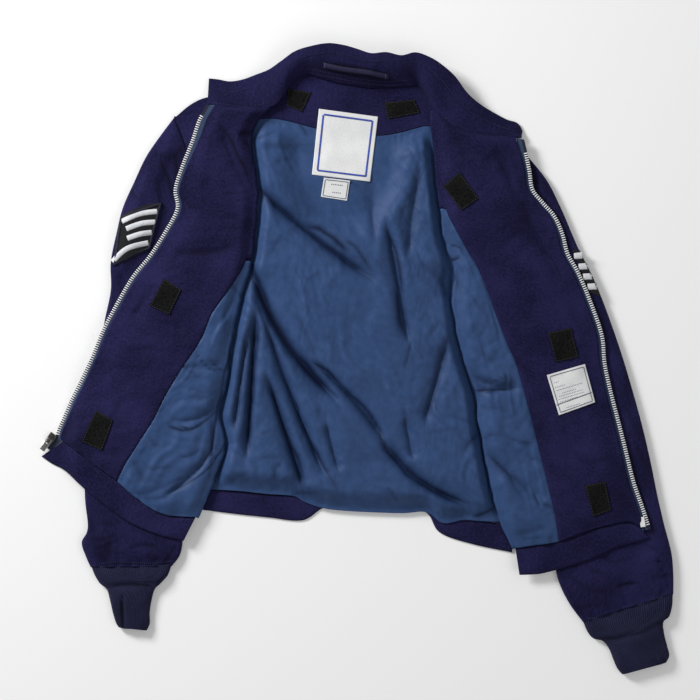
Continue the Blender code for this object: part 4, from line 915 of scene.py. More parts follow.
RIGHT_CREASES = table(
    Stroke,
    (0.5, 2.0, (486, 452, 497, 462, 508, 474, 514, 486)), (0.35, 2.4, (480, 440, 492, 434, 505, 433)),
    (0.45, 1.4, (474, 386, 486, 383, 498, 379, 508, 376)),
    (1.0, 0.8, (473, 389.5, 490, 390.5, 505, 388.5, 523, 387)),
    (1.0, 1.7, (472, 388, 486, 391, 500, 389.5, 523, 387)),
    (0.55, 4.2, (468, 370, 484, 381, 500, 384, 520, 380)), (0.6, 1.8, (503, 373, 505, 379, 504, 387)),
    (0.5, 1.8, (511, 376, 511, 381, 510, 388)), (0.9, 1.9, (450, 258, 454, 259, 462, 256)),
    (0.55, 1.9, (450, 246, 456, 246, 465, 250)), (0.4, 4.2, (451, 268, 455, 278, 462, 292)),
    (0.35, 2.2, (472, 295, 477, 303, 483, 313)), (0.25, 3.2, (478, 352, 488, 358, 499, 366)),
    (-0.4, 3.0, (458, 262, 468, 274, 480, 292)), (0.5, 2.6, (492, 144, 504, 160, 508, 174, 515, 191)),
    (0.45, 2.6, (518, 198, 528, 216, 542, 248)), (0.45, 2.4, (540, 244, 552, 260, 566, 286)),
    (0.45, 4.0, (486, 443, 500, 467, 520, 482, 532, 502)), (-0.5, 4.0, (493, 478, 510, 490, 532, 508)),
    (0.35, 4.0, (505, 474, 514, 486, 524, 504)), (0.55, 1.9, (532, 492, 535, 498, 538, 508)),
    (0.65, 1.8, (541, 506, 545, 505, 551, 507)), (0.4, 2.2, (505, 436, 518, 441, 532, 444)),
    (0.5, 1.8, (529, 456, 534, 459, 542, 460)), (0.6, 2.0, (500, 538, 507, 544, 517, 548)),
    (0.4, 2.2, (515, 537, 530, 537, 547, 534)), (0.25, 3.4, (480, 406, 492, 408, 520, 411)),
    (-0.35, 4.0, (484, 420, 492, 440, 508, 456)), (0.2, 4.3, (556, 400, 566, 440, 564, 480)),
    (0.2, 3.7, (566, 300, 580, 330, 584, 360)), (0.25, 3.7, (570, 450, 590, 462, 616, 456)),
    (0.25, 3.7, (450, 132, 462, 150, 462, 172)), (0.25, 3.7, (540, 500, 570, 520, 600, 514)),
    (-0.3, 3.0, (500, 150, 512, 172, 522, 200)),
)
SLEEVE_CREASES = table(
    Stroke,
    (0.85, 2.6, (152, 152, 171, 158, 189, 140)), (0.9, 3.0, (158, 158, 168, 178, 174, 204)),
    (0.8, 4.5, (175, 150, 177, 165, 178, 184)), (-0.6, 4.0, (146, 142, 148, 170, 136, 208)),
    (0.5, 2.5, (130, 188, 133, 194, 138, 202)), (0.5, 2.6, (156, 176, 160, 192, 164, 212)),
    (0.35, 2.5, (134, 180, 130, 196, 124, 208)), (0.35, 2.5, (112, 270, 114, 300, 108, 330)),
    (0.3, 2.5, (118, 276, 122, 300, 118, 318)), (0.3, 2.5, (98, 340, 100, 356, 94, 372)),
    (0.35, 2.5, (92, 500, 110, 504, 132, 516)), (0.4, 2.5, (86, 536, 104, 540, 122, 532)),
    (0.8, 1.9, (110, 541, 110, 548, 110, 558)), (0.5, 2.0, (118, 546, 118, 552, 117, 562)),
    (0.5, 2.5, (128, 547, 147, 545, 165, 549)), (0.45, 2.0, (153, 549, 150, 553, 146, 559)),
    (0.6, 2.2, (176, 543, 172, 552, 167, 562)), (0.3, 2.5, (96, 520, 110, 524, 124, 520)),
    (0.45, 2.5, (528, 160, 534, 184, 548, 206)), (0.4, 2.5, (540, 176, 552, 196, 566, 214)),
    (0.35, 2.5, (560, 206, 570, 226, 576, 246)), (0.35, 3.1, (600, 306, 608, 336, 618, 360)),
    (0.3, 3.1, (612, 330, 622, 360, 630, 392)), (0.35, 3.1, (622, 400, 634, 424, 644, 440)),
    (0.3, 2.5, (634, 440, 644, 462, 650, 480)), (0.4, 2.5, (600, 556, 612, 562, 636, 556)),
    (0.95, 1.8, (614, 587, 625, 584, 638, 582)), (0.4, 2.5, (566, 572, 590, 590, 612, 592)),
    (0.35, 2.2, (570, 604, 584, 606, 598, 600)), (0.4, 2.5, (640, 540, 652, 548, 660, 546)),
    (0.35, 2.5, (646, 512, 652, 524, 656, 540)), (0.35, 2.5, (584, 560, 592, 570, 606, 574)),
    (0.4, 2.2, (574, 606, 580, 610, 586, 616)), (0.35, 2.4, (648, 574, 656, 578, 668, 574)),
)
CUFF_CREASES = table(
    Stroke,
    (0.7, 3.0, (104, 588, 127, 584, 153, 586)), (1.0, 2.2, (122, 598, 123, 612, 125, 660)),
    (0.5, 5.0, (116, 598, 117, 612, 119, 650)), (0.75, 2.6, (590, 637, 612, 638, 645, 630, 665, 620)),
    (0.4, 3.0, (604, 646, 612, 654, 616, 662)), (0.3, 3.0, (648, 640, 656, 644, 664, 640)),
)
CREASED = {"left": (LEFT_FOLDS, LEFT_CREASES), "right": (RIGHT_FOLDS, RIGHT_CREASES)}

# Rows of stitches on the collar
SEAM_ROWS = {
    "collar_edge": [(219, 89), (232, 92), (247, 89), (262, 83), (274, 78), (284, 70), (296, 62), (310, 57),
                    (328, 54), (344, 56), (358, 60), (371, 63), (386, 63), (401, 65), (414, 63), (424, 67),
                    (433, 74), (446, 87), (459, 103), (472, 114), (486, 121), (500, 127), (514, 131)],
    "collar_left": [(213, 103.5), (224, 104.5), (238, 106.5), (254, 106.5), (268, 103)],
    "collar_right": [(440, 116), (454, 124), (470, 131.5), (486, 135.5), (503, 137), (518, 135.5)],
    "collar_back_high": [(306, 69), (322, 72.5), (340, 76), (360, 80), (384, 82.5), (408, 81)],
    "collar_back_low": [(304, 72), (320, 76), (339, 79.5), (360, 83.5), (384, 86), (410, 84.5)],
}
# Creases of the collar, with shade painted along them: round the hanger loop and where the collar turns in.
COLLAR_CREASES = table(
    Stroke,
    (0.5, 1.1, (324, 70, 345, 75, 368, 79, 386, 82)), (1.0, 1.5, (321, 62, 350, 67.3, 373, 72.3, 392, 76)),
    (0.35, 1.0, (327, 69.5, 345, 73.4, 368, 77, 384, 80)),
    (0.6, 3.0, (305, 65, 325, 70, 362, 75, 400, 82, 428, 98)), (0.3, 3.0, (226, 84, 232, 96, 238, 104)),
    (0.3, 3.0, (255, 84, 262, 94, 268, 100)), (0.5, 3.0, (400, 66, 420, 84, 434, 104)),
    (0.25, 3.0, (446, 92, 470, 112, 500, 126)),
)


def fold_line(rows, row):
    """The grid column of a front's visible fold at grid rows."""
    table = np.asarray(rows)
    return np.interp(row, table[:, 3], table[:, 2])


def lining_height(col, row):
    """Underside of the back lining, with its folds, creases and small unevenness."""
    inside = np.minimum(col - fold_line(LEFT_ROWS, row), fold_line(RIGHT_ROWS, row) - col)
    from_top, to_low = row - by_column(FACING_LOW, col), by_column(LINING_LOW, col) - row
    free = ease(inside, 0.5, 12) * ease(from_top, 2, 26) * ease(to_low, 2, 22)
    label = ease(np.hypot(col - 345, (row - 155) / 1.35), 44, 70)      # 0 under the label, 1 away from it
    loft = (0.2 + 0.8 * label) * free * LOOSE
    over_band = (SEAM + BAND - LINING_BASE) * ease(row - by_column(BAND_TOP, col), -14, -4)
    over_band = over_band * ease(inside, 0.5, 6)
    sink = pressed(BACK_FOLDS, col, row) * free * LOOSE / PUFF
    edge = ease(inside, 0, 10) * ease(from_top, 1, 12) * ease(to_low, 0, 10)
    fine = creases(BACK_CREASES, col, row)[0] * edge
    soft = 0.0021 * rumple(col, row, 62, 62, 17, 3) + 0.0009 * rumple(col, row, 48, 22, 6, 9)
    soft = soft + 0.0004 * rumple(col, row, 100, 14, 4.5, 17)
    soft = soft * free * (0.35 + 0.65 * label)
    gather = 0.0007 * cloud(col / 3.2, row / 40, 5) * np.exp(-(from_top / 9) ** 2) * ease(from_top, 0, 2)
    tuck = 0.0010 * cloud(col / 4.5, row / 60, 6) * np.exp(-((to_low - 6) / 9) ** 2) * ease(to_low, 0, 4)
    rise = np.maximum(loft - sink, 0.0) + fine * (0.25 + 0.75 * free) + soft + gather + tuck
    return LINING_BASE + over_band + np.maximum(rise, 0.0)


def across(cut, share, cover=0.0):
    """Points of sections: share 0 at the fold, 0.5 at the facing's seam, 1 at the facing's edge."""
    fold, seam, zip_at = cut[:, 2:4], cut[:, 4:6], cut[:, 6:8]
    way = zip_at - seam
    edge = zip_at - way / np.linalg.norm(way, axis=1)[:, None] * (TAPE_WIDE - cover)
    if share <= 0.5:
        return fold + (seam - fold) * share * 2
    return seam + (edge - seam) * (share - 0.5) * 2


def bowed(side, t, share, spot):
    """Bends the first and last sections onto the collar's seam and the hem band's seam."""
    rows, top, low = FRONTS[side]
    table = np.asarray(rows, float)
    last = len(rows) - 1
    pull = ease(t, last - 3.2, last)[:, None]
    end = on_band(side, low, share) - across(table[-1:], share)[0]
    start = across(table[:1], share)[0]
    spot = spot + end * pull
    wave = 0.9 * cloud(t * 2.4, 0 * t + 3.7, 87) + 0.5 * cloud(t * 6.1, 0 * t + 1.3, 88)
    wave = wave * max(0.0, 1 - share * 2.6) * ease(t, 0, 1) * ease(last - t, 0, 1)
    spot = spot + np.stack([wave, 0 * wave], -1)
    lift = (by_column(top, start[0]) - 1.6 - start[1]) * (1 - ease(t, 0, 2.6))
    return spot + np.stack([0 * lift, lift], -1)


def sleeve_side(points):
    """How far points lie outside the left sleeve's outer line, in grid squares."""
    col, row = grid_of(points)
    outer = share_of([(r.left_x, r.left_y) for r in LEFT_SLEEVE], np.linspace(0, 1, 60))
    gap, _, side = to_line(outer, col, row)
    return gap * side


def sunk(side, points):
    """Lets a front sink off the left sleeve's outer side onto the surface."""
    if side == "left":
        points[..., 2] -= FRONT_Z * ease(sleeve_side(points), 7, 28)
    return points


def front_grid(side, count, roll, lofted, shares, stay=True, first=0.0):
    """Points of a front: from the edge that stays on the body, round the roll, to the facing's edge."""
    rows = FRONTS[side][0]
    last = len(rows) - 1
    t = np.linspace(first, last, count)
    cut = spline(rows, t)
    fold = bowed(side, t, 0.0, cut[:, 2:4])
    out = cut[:, 6:8] - cut[:, 2:4]
    out = out / np.linalg.norm(out, axis=1)[:, None]
    run = spline(rows, t + 0.5)[:, 2:4] - spline(rows, t - 0.5)[:, 2:4]
    way = np.stack([-run[:, 1], run[:, 0]], -1) / np.linalg.norm(run, axis=1)[:, None]
    way = way * np.sign((way * out).sum(1))[:, None]
    middle = fold + way * (FOLD_REACH / SQUARE)
    columns = []
    if stay:
        held = cut[:, 0:2]
        near = ((held - middle) * out).sum(1) < 2.5
        held = np.where(near[:, None], middle + out * 2.5, held)
        for f in (1.0, 0.75, 0.5, 0.25):
            spot = middle + (held - middle) * f
            columns.append(place(spot[:, 0], spot[:, 1], ROLL_Z - roll))
        for k in range(ROLL_CELLS):
            turn = math.pi * (1 - k / ROLL_CELLS)
            spot = middle - way * roll * math.sin(turn) / SQUARE
            columns.append(place(spot[:, 0], spot[:, 1], ROLL_Z + roll * math.cos(turn)))
    flat = []
    for share in shares:
        cover = (TAPE_COVER[side] * ease(t, *COVERED_FROM[side]))[:, None] if lofted else 0.0
        spot = bowed(side, t, share, across(cut, share, cover))
        spot = spot + (middle - fold) * max(0.0, 1 - share * 2)
        flat.append(place(spot[:, 0], spot[:, 1], ROLL_Z + roll))
    flat = sunk(side, np.stack(flat, 1))
    if lofted:
        flat[..., 2] += front_loft(side, *grid_of(flat), np.asarray(shares)[None], t[:, None])
    if columns:
        return np.concatenate([np.stack(columns, 1), flat], axis=1)
    return flat


def front_loft(side, col, row, share, t):
    """How high a front's inside stands over its shell."""
    rows = np.asarray(FRONTS[side][0])
    folds, small = CREASED[side]
    to_low = len(rows) - 1 - t
    inside = np.abs(col - fold_line(rows, row))
    free = ease(inside, 2, 16)
    sewn = ease(1 - share, 0, 0.16) * ease(t, 0, 0.5) * ease(to_low, 0, 0.7)
    full = FRONT_LOOSE * (0.25 + 0.75 * sewn)
    base = np.maximum(0.00135, full - 2.0 * pressed(folds, col, row)) * free
    seam = col - np.interp(row, rows[:, 5], rows[:, 4])
    lining = ease(seam * (1 if side == "left" else -1), -1, 3)
    lining = lining * ease(t, SPLITS[side] - 0.2, SPLITS[side] + 0.2)
    lean = 118 if side == "left" else 70
    soft = 0.0016 * rumple(col, row, lean, 36, 10, 21) * lining
    soft = soft + (0.0008 + 0.0003 * lining) * rumple(col, row, lean + 60, 24, 9, 27) * sewn
    soft = soft + 0.0005 * cloud(col / 7, row / 7, 33)
    pucker = 0.0007 * cloud(row / 3.0, 0 * row + 7.3, 35) * np.exp(-(seam / 3.5) ** 2) * (t > SPLITS[side])
    pucker = pucker - 0.0008 * np.exp(-(seam / 1.3) ** 2) * (t > SPLITS[side])
    pucker = pucker + (0.0009 * cloud(col / 3.2, 0 * row + 9.1, 36)
                       * np.exp(-(to_low * 27 / 8) ** 2) * ease(to_low, 0, 0.08))
    fine = creases(small, col, row)[0] * (0.3 + 0.7 * sewn) * ease(inside, 0, 6)
    return base + np.clip(fine + soft * free + pucker * free, -0.0012 * free, 0.0050)


def lining_shares():
    """Shares of a section from the fold to the facing's seam."""
    return [0.5 * k / LINING_CELLS for k in range(LINING_CELLS + 1)]


def facing_shares():
    """Shares of a section from the facing's seam to its edge."""
    return [0.5 + 0.5 * k / FACING_CELLS for k in range(1, FACING_CELLS + 1)]


def build_front(side):
    """One front: shell, facing and lining round the same roll. Gives the facing."""
    split = SPLITS[side]
    folds, small = CREASED[side]
    shares = lining_shares() + facing_shares()
    last = len(FRONTS[side][0]) - 1
    coarse = [k / 24 for k in range(25)]
    cloth(f"front_{side}_shell", front_grid(side, 110, SHELL_ROLL, False, coarse), TWILL, TWILL_NAVY,
          rests_on=(f"sleeve_{side}_cloth",))
    inner = front_grid(side, FRONT_CELLS + 1, INNER_ROLL, True, shares)
    before_seam = 4 + ROLL_CELLS + LINING_CELLS
    middle = (np.arange(FRONT_CELLS) + 0.5) * last / FRONT_CELLS
    keep = (middle < split)[:, None] | (np.arange(inner.shape[1] - 1) >= before_seam)[None]
    facing = cloth(f"front_{side}_facing", inner, LINING, TWILL_NAVY, keep,
                   rests_on=(f"front_{side}_shell_cloth",), painted_shade=painted_fold_shade(folds, small, *grid_of(inner)))
    count = int(FRONT_CELLS * (last - split) / last)
    blue = front_grid(side, count, INNER_ROLL, True, lining_shares()[:-1] + [0.4985], True, split + 0.06)
    cloth(f"front_{side}_lining", blue, LINING, LINING_BLUE, rests_on=(f"front_{side}_shell_cloth",),
          painted_shade=painted_fold_shade(folds, small, *grid_of(blue)))
    return facing


def build_band(side):
    """A front's hem band, along the front's last section, folded double and a little full."""
    low = BAND_LOWS[side]
    shares = np.linspace(0, 1, 73)
    top = front_grid(side, 2, SHELL_ROLL, False, shares, stay=False, first=len(FRONTS[side][0]) - 1.001)[-1]
    end_at = on_band(side, low, shares)
    end = place(end_at[:, 0], end_at[:, 1], 0.0)
    end = sunk(side, end + [0, 0, FRONT_Z])
    way = end - top
    way[:, 2] = 0
    way = way / np.linalg.norm(way, axis=1)[:, None]
    start = top + way * SEAM
    lines = []
    for f in np.linspace(0, 1, 15):
        spot = start * (1 - f) + end * f
        spot[:, 2] = FRONT_Z
        spot = sunk(side, spot)
        col, row = grid_of(spot)
        full = BAND_FULL * (1 - (2 * f - 1) ** 6) * (1 + 0.35 * cloud(col / 9, row / 9, 41))
        spot[:, 2] += full + 0.0003 * cloud(col / 4, row / 4, 42)
        lines.append(spot)
    return cloth(f"hem_band_{side}", np.stack(lines), BAND - BAND_FULL, TWILL_NAVY,
                 rests_on=(f"sleeve_{side}_cloth",))


def build_back_band():
    """The back's hem band, folded double and a little full."""
    share = np.linspace(0, 1, 121)
    top, low = share_of(BAND_TOP, share), share_of(BAND_LOW, share)
    lines = []
    for f in np.linspace(0.02, 1, 13):
        spot = top + (low - top) * f
        full = BAND_FULL * (1 - (2 * f - 1) ** 6)
        uneven = 0.0003 * cloud(spot[:, 0] / 5, spot[:, 1] / 5, 43) * full / BAND_FULL
        lines.append(place(spot[:, 0], spot[:, 1], full + uneven))
    cloth("hem_band_back", np.stack(lines), BAND - BAND_FULL, TWILL_NAVY)


def build_back():
    """Back: flat shell, neck and shoulder facing, loose lining. Gives the facing and the lining."""
    shell = coons(BACK_TOP, moved(BAND_TOP, 0, -0.4), BACK_LEFT, BACK_RIGHT, 90, 110,
                  lambda col, row: 0.0002 + 0.0002 * rumple(col, row, 20, 30, 8, 12))
    cloth("back_shell", shell, TWILL, TWILL_NAVY)
    facing_low = moved(FACING_LOW, 0, -0.4)
    ends = [[BACK_TOP[k], facing_low[k]] for k in (0, -1)]
    facing = coons(BACK_TOP, facing_low, *ends, 180, 16,
                   lambda col, row: LINING_BASE + 0.0002 + 0.0002 * cloud(col / 8, row / 8, 14))
    shoulder = cloth("shoulder_facing", facing, LINING, TWILL_NAVY, rests_on=("back_shell_cloth",))
    left = [FACING_LOW[0]] + [Edge(e.x + 1, e.y) for e in BACK_LEFT[1:-1]] + [LINING_LOW[0]]
    right = [FACING_LOW[-1]] + [Edge(e.x - 1, e.y) for e in BACK_RIGHT[1:-1]] + [LINING_LOW[-1]]
    lining = coons(FACING_LOW, LINING_LOW, left, right, *BACK_CELLS, lining_height)
    painted_shade = painted_fold_shade(BACK_FOLDS, BACK_CREASES, *grid_of(lining))
    return shoulder, cloth("back_lining", lining, LINING, LINING_BLUE, rests_on=("back_shell_cloth",),
                           painted_shade=painted_shade)


def cover_line(side):
    """The outline of a front that lies on its sleeve: down the zip, then back along the hem band."""
    rows, low = FRONTS[side][0], BAND_LOWS[side]
    table = share_of(rows, np.linspace(0, 1, 40))
    back = share_of(low, np.linspace(1, 0, 24))
    return np.concatenate([table[:, 6:8], back])


def round_tube(around):
    """Share across a flattened tube at each step round it, and which steps are on top."""
    turn = np.linspace(0, 2 * np.pi, around + 1)
    half = np.where(turn <= np.pi, turn, 2 * np.pi - turn)
    return 0.8 * (0.5 - 0.5 * np.cos(half)) + 0.2 * half / np.pi, turn < np.pi + 1e-9


def tube_grid(rings, bows, count, around, shape):
    """Points round a flattened tube that lies on the surface, closed on themselves."""
    t = np.linspace(0, len(rings) - 1, count)
    ring = spline(rings, t)
    share, on_top = round_tube(around)
    near, far = ring[:, None, 0:2], ring[:, None, 2:4]
    wide = np.linalg.norm(far - near, axis=-1)
    unit = (far - near) / wide[..., None]
    spot = near + (far - near) * share[None, :, None]
    bend = np.interp(t, np.arange(len(bows) + 1), [*bows, 0.0])[:, None] if bows else 0.0
    curve = bend * 4 * share * (1 - share) + np.clip(1 - t, 0, 1)[:, None] * 2.2
    spot = spot + np.stack([unit[..., 1] * curve, -unit[..., 0] * curve], -1)
    edge = np.minimum(share, 1 - share)[None] * wide * SQUARE
    col, row = spot[..., 0], spot[..., 1]
    return place(col, row, shape(col, row, t[:, None], share[None], edge, on_top[None]))


def rounded(edge, high, on_top):
    """Height round the edge of a flattened tube."""
    half = high / 2
    arc = half * np.sqrt(1 - (1 - np.clip(edge / half, 0, 1)) ** 2)
    return np.where(on_top, half + arc, half - arc)


def sleeve_shape(side):
    """Height of a sleeve: flat below, pressed under the front, fuller where it is free."""
    line = cover_line(side)
    last = len(SLEEVES[side][0]) - 1
    sign = 1 if side == "left" else -1
    lean = 150 if side == "left" else 30

    def shape(col, row, t, share, edge, on_top):
        gap, _, which = to_line(line, col, row)
        free = ease(gap * which * sign, 4, 24)
        z = rounded(edge, SLEEVE_HIGH * (0.45 + 0.55 * ease(t, 0, 1.0)), on_top)
        inner = ease(edge, 0.001, 0.012)
        to_cuff = last - t
        open_end = ease(t, 0, 0.9) * ease(to_cuff, 0, 1.6)
        full = SLEEVE_FULL * free * ease(edge, 0, 0.022) * open_end
        soft = 0.0010 * rumple(col, row, lean, 30, 9, 61) + 0.0005 * rumple(col, row, lean + 50, 14, 5, 66)
        gather = 0.0014 * cloud(share * 26, t * 1.5, 71) * ease(t, last - 1.6, last - 0.2)
        gather = gather * ease(to_cuff, 0, 0.1)
        bead = ease(to_cuff, 0, 0.05) * ease(-to_cuff, -0.22, -0.12)
        gather = gather + (0.0010 + 0.0005 * np.cos(2 * np.pi * 38 * share)) * bead
        rise = full + (creases(SLEEVE_CREASES, col, row)[0] + soft) * free * inner * ease(to_cuff, 0, 0.5)
        rise = rise + gather * inner - np.minimum(pressed(SLEEVE_FOLDS, col, row), 0.0016) * inner
        below = 0.0003 * inner * (1 + cloud(col / 9, row / 9, 64))
        return z + np.where(on_top, np.maximum(rise, -0.0028), below)
    return shape


def cuff_shape(col, row, t, share, edge, on_top):
    """Height of a cuff: flat below, ribbed, creased across where it bends."""
    z = rounded(edge, SLEEVE_HIGH, on_top)
    inner = ease(edge, 0.0005, 0.008)
    rib = 0.00022 * np.cos(2 * np.pi * CUFF_RIBS * share) * inner
    full = CUFF_FULL * inner * ease(t, 0, 0.8)
    sink = np.minimum(pressed(CUFF_FOLDS, col, row), 0.0024) * inner
    sink = sink - creases(CUFF_CREASES, col, row)[0] * inner
    soft = 0.0005 * cloud(col / 8, row / 8, 73)
    top = full + rib + soft * inner - sink
    return z + np.where(on_top, top, 0.0004 * inner + rib)


def build_sleeve(side):
    """A sleeve and its cuff. Gives the sleeve."""
    rings, bows, cuff = SLEEVES[side]
    tube = tube_grid(rings, bows, *SLEEVE_CELLS, sleeve_shape(side))
    painted_shade = painted_fold_shade(SLEEVE_FOLDS, SLEEVE_CREASES, *grid_of(tube))
    painted_shade[:2], painted_shade[-2:] = 0.8, 0.9      # painted shade in the armhole's seam and at the cuff
    sleeve = cloth(f"sleeve_{side}", tube, SLEEVE_WALL, TWILL_NAVY, ring=True, painted_shade=painted_shade)
    knit = tube_grid(cuff, (), *CUFF_CELLS, cuff_shape)
    # Painted shade in the valleys between the ribs and in the cuff's creases.
    rib_valley_shade = 0.4 - 0.4 * np.cos(2 * np.pi * CUFF_RIBS * round_tube(CUFF_CELLS[1])[0])
    cloth(f"cuff_{side}", knit, CUFF_WALL, RIB_KNIT, ring=True,
          painted_shade=np.maximum(painted_fold_shade(CUFF_FOLDS, CUFF_CREASES, *grid_of(knit)), rib_valley_shade[None]))
    return sleeve


def build_collar():
    """Stand collar: a strip from front to front, its back part leaning up."""
    stand = spline(COLLAR_ROWS, np.linspace(0, len(COLLAR_ROWS) - 1, 220))
    outer, seam, outer_mm, seam_mm = stand[:, 0:2], stand[:, 2:4], stand[:, 4], stand[:, 5]
    lines = []
    for f in np.linspace(0, 1, 27):
        spot = seam + (outer - seam) * f
        rise = f + 0.25 * math.sin(math.pi * f) * ease(outer_mm - seam_mm, 0, 3)
        z = (seam_mm + (outer_mm - seam_mm) * rise) * 0.001
        col, row = spot[:, 0], spot[:, 1]
        soft = 0.0005 * rumple(col, row, 80, 16, 8, 81) * math.sin(math.pi * min(f * 1.2, 1))
        lines.append(place(col, row, z + soft))
    stand = np.stack(lines, 1)
    # Painted shade along the collar's creases, round the hanger loop and along its rows of stitches, which
    # also press small grooves.
    sewn = [Stroke(0.35, 1.0, tuple(np.ravel(row))) for row in SEAM_ROWS.values()]
    high, dark = creases(COLLAR_CREASES + sewn, *grid_of(stand))
    stand[..., 2] += 0.5 * high
    return cloth("collar", stand, COLLAR, TWILL_NAVY, painted_shade=0.85 * dark)


def zip_path(side, count=CHAIN_CELLS):
    """The chain's line with its height, in metres."""
    rows = FRONTS[side][0]
    t = np.linspace(0, len(rows) - 1, count)
    spot = bowed(side, t, 1.0, spline(rows, t)[:, 6:8])
    path = place(spot[:, 0], spot[:, 1], FRONT_Z + TWILL)
    return sunk(side, path)


def build_zip(side):
    """Zip tape from the facing's edge to the chain, and its teeth."""
    rows = FRONTS[side][0]
    t = np.linspace(0, len(rows) - 1, 260)
    cut = spline(rows, t)
    edge_at = bowed(side, t, 1.0, across(cut, 1.0))
    edge = place(edge_at[:, 0], edge_at[:, 1], 0.0)
    end = zip_path(side, 260)
    way = end - edge
    way[:, 2] = 0
    way = way / np.linalg.norm(way, axis=1)[:, None]
    lines = []
    away = np.linspace(SEAM * 2, (TAPE_WIDE + TAPE_UNDER) * SQUARE, 16)
    for far in away:
        spot = edge + way * far
        spot[:, 2] = FRONT_Z + TWILL
        lines.append(sunk(side, spot))
    grid = np.stack(lines, 1)
    # Painted shadow: the tape under the teeth and along the tail to the slider gets the dark tone, for the
    # shade between the teeth.
    chain = 0.9 * ease(away / SQUARE, TAPE_WIDE - TAPE_UNDER, TAPE_WIDE - 1.0)[None]
    chain = chain * np.ones((len(edge), 1))
    if side == "left":
        tail = place(*np.linspace(TAPE_TAIL[0], TAPE_TAIL[1], len(away)).T, TWILL)
        part = np.linspace(0, 1, 11)[1:, None, None]
        grid = np.concatenate([grid, grid[-1] * (1 - part) + tail * part])
        chain = np.concatenate([chain, np.full((10, len(away)), 0.7)])
    path = zip_path(side)
    first, until = TEETH[side]
    path = path[int(first * CHAIN_CELLS):int(until * CHAIN_CELLS)]
    spots, ways = spaced(path, TOOTH_PITCH)
    far = np.linalg.norm(path[:, None, :2] - spots[None, :, :], axis=-1)
    z = path[far.argmin(axis=0), 2] + TAPE / 2
    tooth = unit_shape("block", TOOTH_SIZE, TOOTH_BEVEL)
    places = [frame_at(x, y, height, w) for (x, y), height, w in zip(spots, z, ways)]
    teeth = repeated(f"zip_teeth_{side}", tooth, places, ALUMINIUM)
    cloth(f"zip_tape_{side}", grid, TAPE, TAPE_SLATE, with_pieces=(teeth,), painted_shade=chain)


def strip_on(name, path, wide, trees, look, lift=0.0001, crown=WOVEN_CROWN, cells=4):
    """A narrow raised strip along a path on the layout grid, laid on what is under it."""
    line = place(*np.asarray(path, float).T, 0.0)
    spots, ways = spaced(line, SQUARE)
    shares = np.linspace(-1, 1, cells + 1)
    points = np.zeros((len(spots), cells + 1, 3))
    for i, ((x, y), (dx, dy)) in enumerate(zip(spots, ways)):
        for j, s in enumerate(shares):
            px, py = x - dy * wide / 2 * s, y + dx * wide / 2 * s
            z = top_of(trees, px, py)
            z = z if z is not None else points[i, j - 1, 2]
            points[i, j] = (px, py, z + lift + crown * (1 - s * s))
    piece = add_piece(name, sheet_mesh(name, points), look)
    made = piece.modifiers.new("wall", "SOLIDIFY")
    made.thickness = STRIP_WALL
    made.offset = 1.0


def inset(corners, far):
    """Four corners moved inward by a number of grid squares, closed."""
    out = []
    for k in range(4):
        here = np.asarray(corners[k], float)
        for other in (corners[k - 1], corners[(k + 1) % 4]):
            way = np.asarray(other, float) - corners[k]
            here = here + way / np.linalg.norm(way) * far
        out.append(here)
    return out + [out[0]]


def dense(corners, step=1.0):
    """A broken line with points added along it, so that its corners stay sharp."""
    out = []
    for a, b in zip(corners, corners[1:]):
        a, b = np.asarray(a, float), np.asarray(b, float)
        count = max(2, int(np.linalg.norm(b - a) / step))
        out += [a + (b - a) * k / count for k in range(count)]
    return out + [np.asarray(corners[-1], float)]


def lay_piece(node, corners, under, wall, look, cells=14, rough=0.0, with_pieces=(), bulge=(0, 0)):
    """A flat piece laid on finished pieces."""
    points = quad_points(corners, cells, ray_tree(*under), LAID_GAP, bulge, rough * 2.5)
    if rough:
        col, row = grid_of(points)
        points[..., 2] += rough * (cloud(col / 1.4, row / 1.4, 91) + 1)
    return cloth(node, points, wall, look, rests_on=tuple(p.name for p in under), with_pieces=with_pieces)


shoulder, back_lining = build_back()
facings = {side: build_front(side) for side in SIDES}
bands = {side: build_band(side) for side in SIDES}
build_back_band()
sleeves = {side: build_sleeve(side) for side in SIDES}
collar = build_collar()
for side in SIDES:
    build_zip(side)

for pad, corners in PADS.items():
    under = shoulder if "neck" in pad else facings["left" if "left" in pad else "right"]
    laid = lay_piece(pad, corners, (under,), PAD_WALL, PILE_BLACK, 20, 0.0002)
    stitches(pad + "_stitches", [inset(corners, PAD_EDGE)], (laid,), THREAD_WORN)

main = lay_piece("label_main", LABELS["label_main"], (shoulder, back_lining), LABEL_WALL, LABEL_WHITE, 22)
size_tab = lay_piece("label_size", LABEL_SIZE, (main, back_lining), LABEL_WALL, LABEL_WHITE, 12)
care = lay_piece("label_care", LABELS["label_care"], (facings["right"],), LABEL_WALL, LABEL_WHITE, 16)


def frame_on(name, corners, line, under, look):
    """A woven line all round a label, inside its edge."""
    far, wide = line
    strip_on(name, dense(inset(corners, far)), wide, ray_tree(under), look)


frame_on("label_main_frame", LABELS["label_main"], MAIN_FRAME, main, THREAD_ROYAL)
strip_on("label_care_line", CARE_LINE, CARE_LINE_WIDE, ray_tree(care), THREAD_GREY)
frame_on("label_care_frame", LABELS["label_care"], CARE_FRAME, care, THREAD_GREY)
frame_on("label_size_frame", LABEL_SIZE, SIZE_FRAME, size_tab, THREAD_GREY)
care_print = [[(a, b), (a + long, b - long * CARE_LEAN)] for a, b, long in CARE_ROWS]
stitches("label_care_print", care_print, (care,), THREAD_GREY, CARE_PRINT)
stitches("label_size_print", SIZE_ROWS, (size_tab,), THREAD_GREY, SIZE_PRINT)

